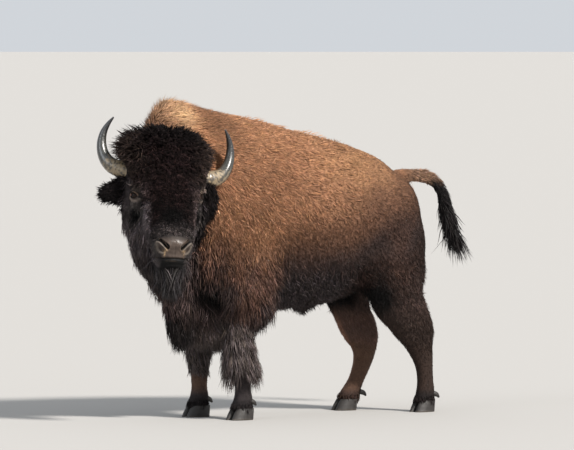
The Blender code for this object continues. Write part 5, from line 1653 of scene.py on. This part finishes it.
def grow_coat(skin):
    v = skin.v
    x, y, z = v.T
    ax = np.abs(x)
    t, n, lat, up = face_of(v)
    cl, cf, cu = crown_of(v)
    nx, ny, nz = skin.n.T
    head = on_head(v)
    ears = ear_mask(v)
    bare = bare_of(v)
    tail = np.maximum(smooth(y, 0.765, 0.79) * smooth(z, 1.15, 1.18), smooth(y, 0.84, 0.87) * smooth(z, 0.6, 0.75))
    fore = smooth(y, -0.10, -0.20)
    trunk_part = (1 - head) * (1 - tail)
    foreleg = smooth(z, 0.50, 0.42) * fore * smooth(ax, 0.055, 0.075)
    hindleg = smooth(z, 0.62, 0.50) * smooth(y, 0.15, 0.30)
    legs = np.maximum(foreleg, hindleg) * trunk_part
    body = trunk_part * (1 - legs)
    bottom = smooth(nz, -0.35, -0.75) * body
    chest = smooth(-y - 0.86 + 0.75 * ax + 0.35 * (0.9 - z), -0.05, 0.05) * smooth(z, 1.28, 1.12) * body
    shoulder_low = smooth(z, 0.90, 0.76) * smooth(y, -0.20, -0.30) * body * (1 - chest)
    elbow = smooth(z, 0.66, 0.56) * smooth(y, -0.16, -0.24) * smooth(ax, 0.10, 0.14) * body
    dark_flank = smooth(z, 0.88, 0.78) * smooth(y, -0.26, -0.16) * body
    short = fur_material("fur_short")
    woolly = fur_material("fur_wool", rough=(0.50, 0.72), sheen=0.0, shine=0.09)
    long_hair = fur_material("fur_long", rough=(0.40, 0.60), sheen=0.01, streak=(0.50, 1.55), shine=0.16)
    pieces = {}

    def add(piece, coat):
        pieces.setdefault(piece, []).append(coat)

    # --- the body's short coat
    for name, y0, y1, seed in (("cape", -9.0, -0.42, 1), ("ribs", -0.42, -0.05, 2), ("flank", -0.05, 0.32, 3), ("rear", 0.32, 9.0, 4)):
        here = (y >= y0) & (y < y1)
        dens = 35500 * body * (1 - 0.75 * chest) * (1 - 0.50 * shoulder_low) * (1 - 0.30 * smooth(z, 0.95, 0.80)) * here
        roots = skin.roots(dens, seed)
        p = roots[0]
        k = smooth(p[:, 1], 0.15, -0.30) * smooth(p[:, 2], 0.75, 1.0)
        under = smooth(p[:, 2], 0.88, 0.74)
        crest = bell(p[:, 1], -0.78, 0.20) * smooth(p[:, 2], 1.35, 1.55)
        length = 0.026 + 0.012 * k + 0.012 * under + 0.014 * crest
        lift = 0.30 + 0.16 * k + 0.20 * under + 0.28 * crest + 0.12 * rough_noise(p, 0.07, 50 + seed)
        add("coat_" + name, grow(roots, length * 1.05, 0.0043 + 0.0010 * under, lift, rings=0, yaw=0.26 + 0.22 * under,
                                 clump=0.45, clump_size=0.034, tip_pale_and_lit=1.40, root_shade=0.62, thick=0.55, mottle=0.65 + 0.5 * under))
    # --- longer, ruffled tufts over the cape and the back
    dens = 3400 * body * smooth(z, 0.85, 1.05) * smooth(y, 0.45, 0.15) * (1 - chest)
    roots = skin.roots(dens, 11)
    p = roots[0]
    tuft = smooth(rough_noise(p, 0.06, 60), -0.25, 0.45)
    top = smooth(p[:, 2] - np.interp(p[:, 1], TRUNK_Y, TRUNK_TOP), -0.30, -0.05)
    add("coat_ruffle", grow(roots, 0.032 + 0.020 * tuft, 0.0046, 0.40 + 0.28 * tuft * top, rings=2, yaw=0.35, clump=0.60,
                            clump_size=0.05, tip_pale_and_lit=1.40, tip_mix=(GOLD * 0.95, 0.38 * tuft * (0.30 + 0.70 * top) * smooth(p[:, 2], 0.95, 1.15)), thick=0.4))
    # --- lower shoulder and elbow
    roots = skin.roots(12500 * shoulder_low, 12)
    p = roots[0]
    k = smooth(p[:, 2], 0.90, 0.55)
    add("coat_shoulder", grow(roots, 0.050 + 0.038 * k, 0.0046, 0.30 + 0.15 * k, rings=2, yaw=0.24, gravity=0.5, clump=0.8,
                              clump_size=0.055, tip_pale_and_lit=1.35, root_shade=0.6, lift_end=0.10, mottle=0.8))
    roots = skin.roots(10000 * elbow, 13)
    add("coat_shoulder", grow(roots, 0.105, 0.0048, 0.45, rings=3, yaw=0.25, gravity=1.1, clump=0.9, clump_size=0.06,
                              tip_pale_and_lit=1.5, lift_end=0.15, thick=0.4))
    # --- chest, throat and brisket
    roots = skin.roots(8200 * chest, 14)
    p = roots[0]
    k = smooth(p[:, 2], 1.10, 0.60)
    add("coat_chest", grow(roots, 0.048 + 0.032 * k, 0.0048, 0.34, rings=3, yaw=0.28, gravity=1.0, clump=0.8, clump_size=0.05,
                           tip_pale_and_lit=1.8, lift_end=0.10, mottle=1.4))
    brisket = smooth(z, 0.58, 0.50) * smooth(y, -0.36, -0.44) * smooth(ax, 0.17, 0.12) * body
    roots = skin.roots(14000 * brisket, 15)
    add("coat_chest", grow(roots, 0.090, 0.0052, 0.45, rings=3, yaw=0.30, gravity=2.0, clump=1.0, clump_size=0.05, tip_pale_and_lit=1.7,
                           lift_end=0.3, thick=0.4))
    # --- wool of the belly
    roots = skin.roots(8000 * bottom * smooth(y, -0.45, -0.35), 16)
    add("coat_belly", grow(roots, 0.042, 0.0052, 0.60, rings=2, yaw=0.8, curl=0.5, turns=0.8, gravity=0.5, clump=0.5, tip_pale_and_lit=1.6))
    sheath = np.exp(-((x / 0.05) ** 2 + ((y - 0.075) / 0.07) ** 2)) * smooth(z, 0.60, 0.57)
    roots = skin.roots(36000 * sheath, 17)
    add("coat_belly", grow(roots, 0.050, 0.0050, 0.8, rings=3, yaw=0.6, gravity=1.8, clump=0.8, clump_size=0.03, tip_pale_and_lit=1.5, lift_end=0.6))
    # --- legs
    roots = skin.roots(40000 * legs * (1 - 0.6 * smooth(z, 0.30, 0.40) * fore), 18)
    p = roots[0]
    k = smooth(p[:, 2], 0.24, 0.46)
    add("coat_legs", grow(roots, 0.016 + 0.017 * k, 0.0037 + 0.0010 * k, 0.20 + 0.14 * k, rings=0, yaw=0.20, clump=0.3, clump_size=0.02,
                          tip_pale_and_lit=1.45, root_shade=0.62))
    coronet = legs * smooth(z, 0.092, 0.074) * smooth(z, 0.055, 0.060)
    roots = skin.roots(60000 * coronet, 19)
    add("coat_legs", grow(roots, 0.034, 0.0044, 0.34, rings=2, yaw=0.15, clump=0.3, clump_size=0.02, tip_pale_and_lit=1.3, gravity=0.7))
    # --- the shaggy trousers of the forelegs
    knee = smooth(z, 0.240, 0.275) * smooth(z, 0.56, 0.46) * fore * smooth(ax, 0.055, 0.075) * trunk_part
    left = smooth(x, 0.0, 0.02)
    roots = skin.roots(20500 * knee * (0.55 + 0.45 * left), 20)
    p = roots[0]
    k = smooth(p[:, 2], 0.50, 0.32)
    big = np.where(p[:, 0] > 0, 1.0, 0.62)
    add("coat_trousers", grow(roots, (0.070 + 0.045 * k) * big, 0.0046, (0.58 + 0.1 * k) * big, rings=3, yaw=0.25, gravity=1.0,
                              clump=0.95, clump_size=0.050, tip_pale_and_lit=1.6, lift_end=0.20, thick=0.4, vary=0.25))
    # --- tail
    roots = skin.roots(36000 * tail * smooth(z, 0.96, 1.02), 21)
    p = roots[0]
    back = smooth(dots(roots[1], np.array([0, 0.75, 0.66])), 0.1, 0.8)
    add("coat_tail", grow(roots, 0.024 + 0.010 * back * smooth(p[:, 1], 0.80, 0.86), 0.0042, 0.30 + 0.15 * back, rings=2, yaw=0.2, clump=0.6,
                          clump_size=0.025, tip_pale_and_lit=1.4))
    roots = skin.roots(64000 * tail * smooth(z, 1.12, 1.03), 22)
    p = roots[0]
    k = smooth(p[:, 2], 1.12, 0.97)
    add("coat_tail", grow(roots, 0.075 + 0.115 * k, 0.0054, 0.40 - 0.08 * k, rings=4, yaw=0.22, gravity=0.35, clump=0.5, clump_size=0.03,
                          tip_pale_and_lit=1.9, lift_end=0.0, thick=0.4, curl=0.10))
    # --- head: the bonnet
    horn_foot = np.minimum(*[from_horn(v, sgn) for sgn in (1, -1)])
    crown = head * (1 - ears) * smooth(cu, 0.015, 0.060) * (1 - bare) * smooth(horn_foot, 0.050, 0.072)
    roots = skin.roots(33000 * crown * smooth(t, 0.20, 0.10), 30)
    p = roots[0]
    pcl, pcf, pcu = crown_of(p)
    k = smooth(pcu, 0.06, 0.20)
    slimmer = 1 - 0.24 * smooth(pcl, 0.10, 0.20) + 0.55 * smooth(-pcl, 0.11, 0.18) * smooth(pcu, 0.075, 0.125)
    foot = np.minimum(*[from_horn(p, sgn) for sgn in (1, -1)])
    slimmer = slimmer * (0.36 + 0.64 * smooth(foot, 0.064, 0.110))
    add("coat_bonnet", grow(roots, (0.042 + 0.026 * k) * slimmer, 0.0060, 0.85 + 0.15 * k, rings=3, yaw=0.9, curl=0.80, turns=0.9, gravity=0.30,
                            clump=0.7, clump_size=0.030, tip_pale_and_lit=2.8, root_shade=0.25, lift_end=0.45, hue=0.08, vary=0.40, mottle=1.8))
    # spikes along the bonnet's rim
    rim = head * (1 - ears) * smooth(cu, 0.10, 0.16) * smooth(unit(v - hp(0, -0.06, 0.10)) @ HA[1], 0.55, 0.25) * smooth(horn_foot, 0.080, 0.118)
    roots = skin.roots(7600 * rim, 37)
    pcl = crown_of(roots[0])[0]
    add("coat_bonnet", grow(roots, 0.064 * (1 - 0.12 * smooth(pcl, 0.08, 0.18) + 0.48 * smooth(-pcl, 0.05, 0.16)), 0.0078, 1.15, rings=3, yaw=0.5, curl=0.20, turns=0.6, clump=0.9,
                            clump_size=0.045, tip_pale_and_lit=1.5, root_shade=0.35, lift_end=1.0, vary=0.25))
    brow = head * (1 - ears) * (1 - bare) * smooth(t, 0.06, 0.14) * smooth(t, 0.452, 0.432) * smooth(np.abs(lat), 0.150, 0.120) * smooth(n, -0.10, -0.05)
    roots = skin.roots(52000 * brow, 31)
    pt = face_of(roots[0])[0]
    k = smooth(pt, 0.34, 0.14)
    nosewards = smooth(pt, 0.35, 0.43)
    add("coat_brow", grow(roots, 0.018 + 0.022 * k - 0.006 * nosewards, 0.0046 - 0.0010 * nosewards, 0.60 + 0.20 * k, rings=2, yaw=1.0, curl=0.90, turns=0.7, gravity=0.2,
                          clump=0.75, clump_size=0.022, tip_pale_and_lit=3.0, root_shade=0.25, lift_end=0.4, vary=0.42, mottle=2.2))
    # --- head: face, cheeks, jaw
    eyes_near = np.zeros(len(v))
    for sgn in (1, -1):
        c, out, along, above = eye_frame(sgn)
        q = v - c
        e = np.sqrt(((q @ along) / LID[0]) ** 2 + ((q @ above) / LID[1]) ** 2)
        eyes_near = np.maximum(eyes_near, smooth(e, 2.6, 2.1) * (np.linalg.norm(q, axis=1) < 0.08))
        # fine fur on the lids, and lashes along the upper one
        lids = smooth(e, 1.40, 1.60) * smooth(e, 3.0, 2.4) * (np.linalg.norm(q, axis=1) < 0.09) * (q @ out > -0.03)
        add("coat_face", grow(skin.roots(110000 * lids, 38 + sgn), 0.0085, 0.0022, 0.22, rings=0, yaw=0.25, tip_pale_and_lit=1.5,
                              root_shade=0.7, sink=0.002, vary=0.25, mottle=1.0))
        m = 60
        u = np.linspace(-0.92, 0.92, m)
        at = c + out * (EYE_RADIUS + 0.0010) * np.sqrt(1 - 0.55 * u**2)[:, None] * 0.98 + along * (u * LID[0])[:, None] \
            + above * (LID[1] * 1.08 * np.sqrt(1 - u**2))[:, None]
        away = unit(out * 0.9 + along * (0.55 * u)[:, None] - above * 0.25)
        rng = np.random.default_rng(70 + sgn)
        near_uv = skin.uv_near(at)
        add("coat_face", grow((at, np.broadcast_to(above, at.shape), near_uv, rng), 0.011, 0.0011, -0.15, rings=2, yaw=0.15,
                              tint=np.broadcast_to(BLACK * 0.8, at.shape), flow=away, lift_end=0.15, sink=0.0, tip_pale_and_lit=1.0))
    facial = head * (1 - ears) * (1 - bare) * (1 - eyes_near) * smooth(up, -0.36, -0.30) * smooth(cu, 0.06, 0.02) * (1 - 0.7 * brow)
    roots = skin.roots(62000 * facial * smooth(n, -0.34, -0.26), 32)
    pt, pn, plat, pup = face_of(roots[0])
    k = smooth(pn, -0.12, -0.24)
    fine = smooth(pt, 0.30, 0.42) * smooth(pn, -0.12, -0.07)
    add("coat_face", grow(roots, 0.015 + 0.014 * k - 0.006 * fine, 0.0036 - 0.0008 * fine, 0.24 + 0.10 * k - 0.05 * fine, rings=0, yaw=0.35,
                          clump=0.55, clump_size=0.020, tip_pale_and_lit=2.0, root_shade=0.45, vary=0.35, mottle=1.9))
    cheek = head * (1 - ears) * smooth(np.abs(lat), 0.09, 0.12) * smooth(t, 0.18, 0.26) * smooth(n, -0.10, -0.16) * (1 - eyes_near)
    roots = skin.roots(9000 * cheek, 33)
    outer = smooth(-face_of(roots[0])[2], 0.085, 0.135)
    add("coat_face", grow(roots, 0.032 + 0.020 * outer, 0.0044, 0.30 + 0.32 * outer, rings=2, yaw=0.3, gravity=0.5, clump=0.6, clump_size=0.03, tip_pale_and_lit=1.8, lift_end=0.05, mottle=1.8))
    # --- ears
    roots = skin.roots(41000 * head * ears, 34)
    add("coat_ears", grow(roots, 0.042, 0.0048, 0.80, rings=3, yaw=0.55, gravity=0.25, clump=0.5, clump_size=0.022, tip_pale_and_lit=2.4,
                          lift_end=0.45, root_shade=0.5, curl=0.2, mottle=1.2))
    # --- beard and throat
    chin = head * smooth(up + 0.5 * lat**2, -0.358, -0.374) * smooth(t, 0.36, 0.42) * smooth(np.abs(lat), 0.092, 0.076)
    chin = np.maximum(chin, head * smooth(up, -0.335, -0.350) * smooth(n, -0.135, -0.155) * smooth(t, 0.36, 0.42) * smooth(np.abs(lat), 0.100, 0.085))
    chin = chin * smooth(n, -0.30, -0.25)
    roots = skin.roots(52000 * chin, 35)
    pt, pn, plat, pup = face_of(roots[0])
    mid = bell(plat, 0.0, 0.060)
    add("coat_beard", grow(roots, 0.065 + 0.095 * mid, 0.0054, 0.25, rings=4, yaw=0.25, gravity=3.6, clump=0.55, clump_size=0.035,
                           tip_pale_and_lit=2.4, lift_end=0.0, thick=0.35, curl=0.16, turns=1.2, root_shade=0.6, vary=0.40,
                           tint=np.broadcast_to(SOOT * 0.85, roots[0].shape), mottle=0.8))
    jaw = head * smooth(up, -0.19, -0.25) * smooth(n, -0.13, -0.18) * (1 - ears)
    roots = skin.roots(14500 * jaw, 36)
    pt, pn, plat, pup = face_of(roots[0])
    k = smooth(pt, 0.25, 0.42)
    throat = smooth(pup, -0.33, -0.41)
    add("coat_mane", grow(roots, (0.055 + 0.030 * k) * (1 - 0.35 * throat), 0.0050, 0.20 - 0.06 * throat, rings=4, yaw=0.3, gravity=1.1, clump=0.8, clump_size=0.045,
                          tip_pale_and_lit=1.9, lift_end=0.0, thick=0.35, curl=0.12, mottle=1.4))
    kinds = {"coat_bonnet": woolly, "coat_brow": woolly, "coat_belly": woolly, "coat_beard": long_hair, "coat_mane": long_hair,
             "coat_trousers": long_hair, "coat_chest": long_hair, "coat_tail": long_hair, "coat_ears": woolly}
    for name, coats in pieces.items():
        obj = coat_piece(name, merged(coats), kinds.get(name, short))
        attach(obj, "root")


# ---------------------------------------------------------------- studio
def studio():
    # floor: a wide pale disc
    bm = bmesh.new()
    bmesh.ops.create_circle(bm, cap_ends=True, segments=192, radius=1500.0)
    mesh = bpy.data.meshes.new("studio_floor")
    bm.to_mesh(mesh)
    bm.free()
    floor = bpy.data.objects.new("studio_floor", mesh)
    bpy.context.scene.collection.objects.link(floor)
    m, tree, shader, node = start_material("studio_paper")
    shader.inputs["Base Color"].default_value = (0.40, 0.39, 0.375, 1)
    shader.inputs["Roughness"].default_value = 0.9
    shader.inputs["Specular IOR Level"].default_value = 0.1
    mesh.materials.append(m)
    # world: an even pale surround
    world = bpy.data.worlds.new("surround")
    world.use_nodes = True
    world.node_tree.nodes["Background"].inputs["Color"].default_value = (0.86, 0.90, 0.95, 1)
    world.node_tree.nodes["Background"].inputs["Strength"].default_value = 0.74
    bpy.context.scene.world = world
    # camera: level with the hump, far off to the left front, looking a little down
    azimuth = math.radians(55.0)
    focal = 5760.0                        # in widths of a point of the 574-wide frame
    back = np.array([math.sin(azimuth), -math.cos(azimuth), 0.0])
    right = np.array([math.cos(azimuth), math.sin(azimuth), 0.0])
    height, distance = 1.93, 30.0
    where = back * distance + np.array([0, 0, height])
    pitch = math.atan2(height, distance) - math.atan(190.0 / focal)
    ahead = -back * math.cos(pitch) - np.array([0, 0, math.sin(pitch)])
    turn = math.atan(3.0 / focal)
    spin = np.array([[math.cos(turn), -math.sin(turn), 0], [math.sin(turn), math.cos(turn), 0], [0, 0, 1]])
    ahead, right = spin @ ahead, spin @ right
    above = np.cross(right, ahead)
    cam = bpy.data.cameras.new("camera")
    cam.sensor_fit = "HORIZONTAL"
    cam.sensor_width = 36.0
    cam.lens = focal * 36.0 / 574.0
    cam.clip_end = 5000.0
    obj = bpy.data.objects.new("camera", cam)
    bpy.context.scene.collection.objects.link(obj)
    from mathutils import Matrix
    m = Matrix((
        (right[0], above[0], -ahead[0], 0), (right[1], above[1], -ahead[1], 0),
        (right[2], above[2], -ahead[2], 0), (0, 0, 0, 1)))
    obj.matrix_world = Matrix.Translation(Vector(placed(where))) @ m
    bpy.context.scene.camera = obj

    def sun(name, direction, strength, spread, colour):
        data = bpy.data.lights.new(name, "SUN")
        data.energy, data.color, data.angle = strength, colour, math.radians(spread)
        obj = bpy.data.objects.new(name, data)
        bpy.context.scene.collection.objects.link(obj)
        obj.rotation_euler = Vector(direction).to_track_quat("Z", "Y").to_euler()

    b, r, u = back, np.array([math.cos(azimuth), math.sin(azimuth), 0.0]), np.array([0, 0, 1.0])
    sun("key", r * 0.80 + b * 0.75 + u * 0.85, 6.3, 8.0, (1.0, 0.955, 0.90))
    sun("fill", -r * 0.9 + b * 0.8 + u * 0.5, 0.60, 26.0, (0.88, 0.93, 1.0))
    bpy.context.scene.view_settings.view_transform = "Standard"


studio()
hard_parts()
grow_coat(make_skin())
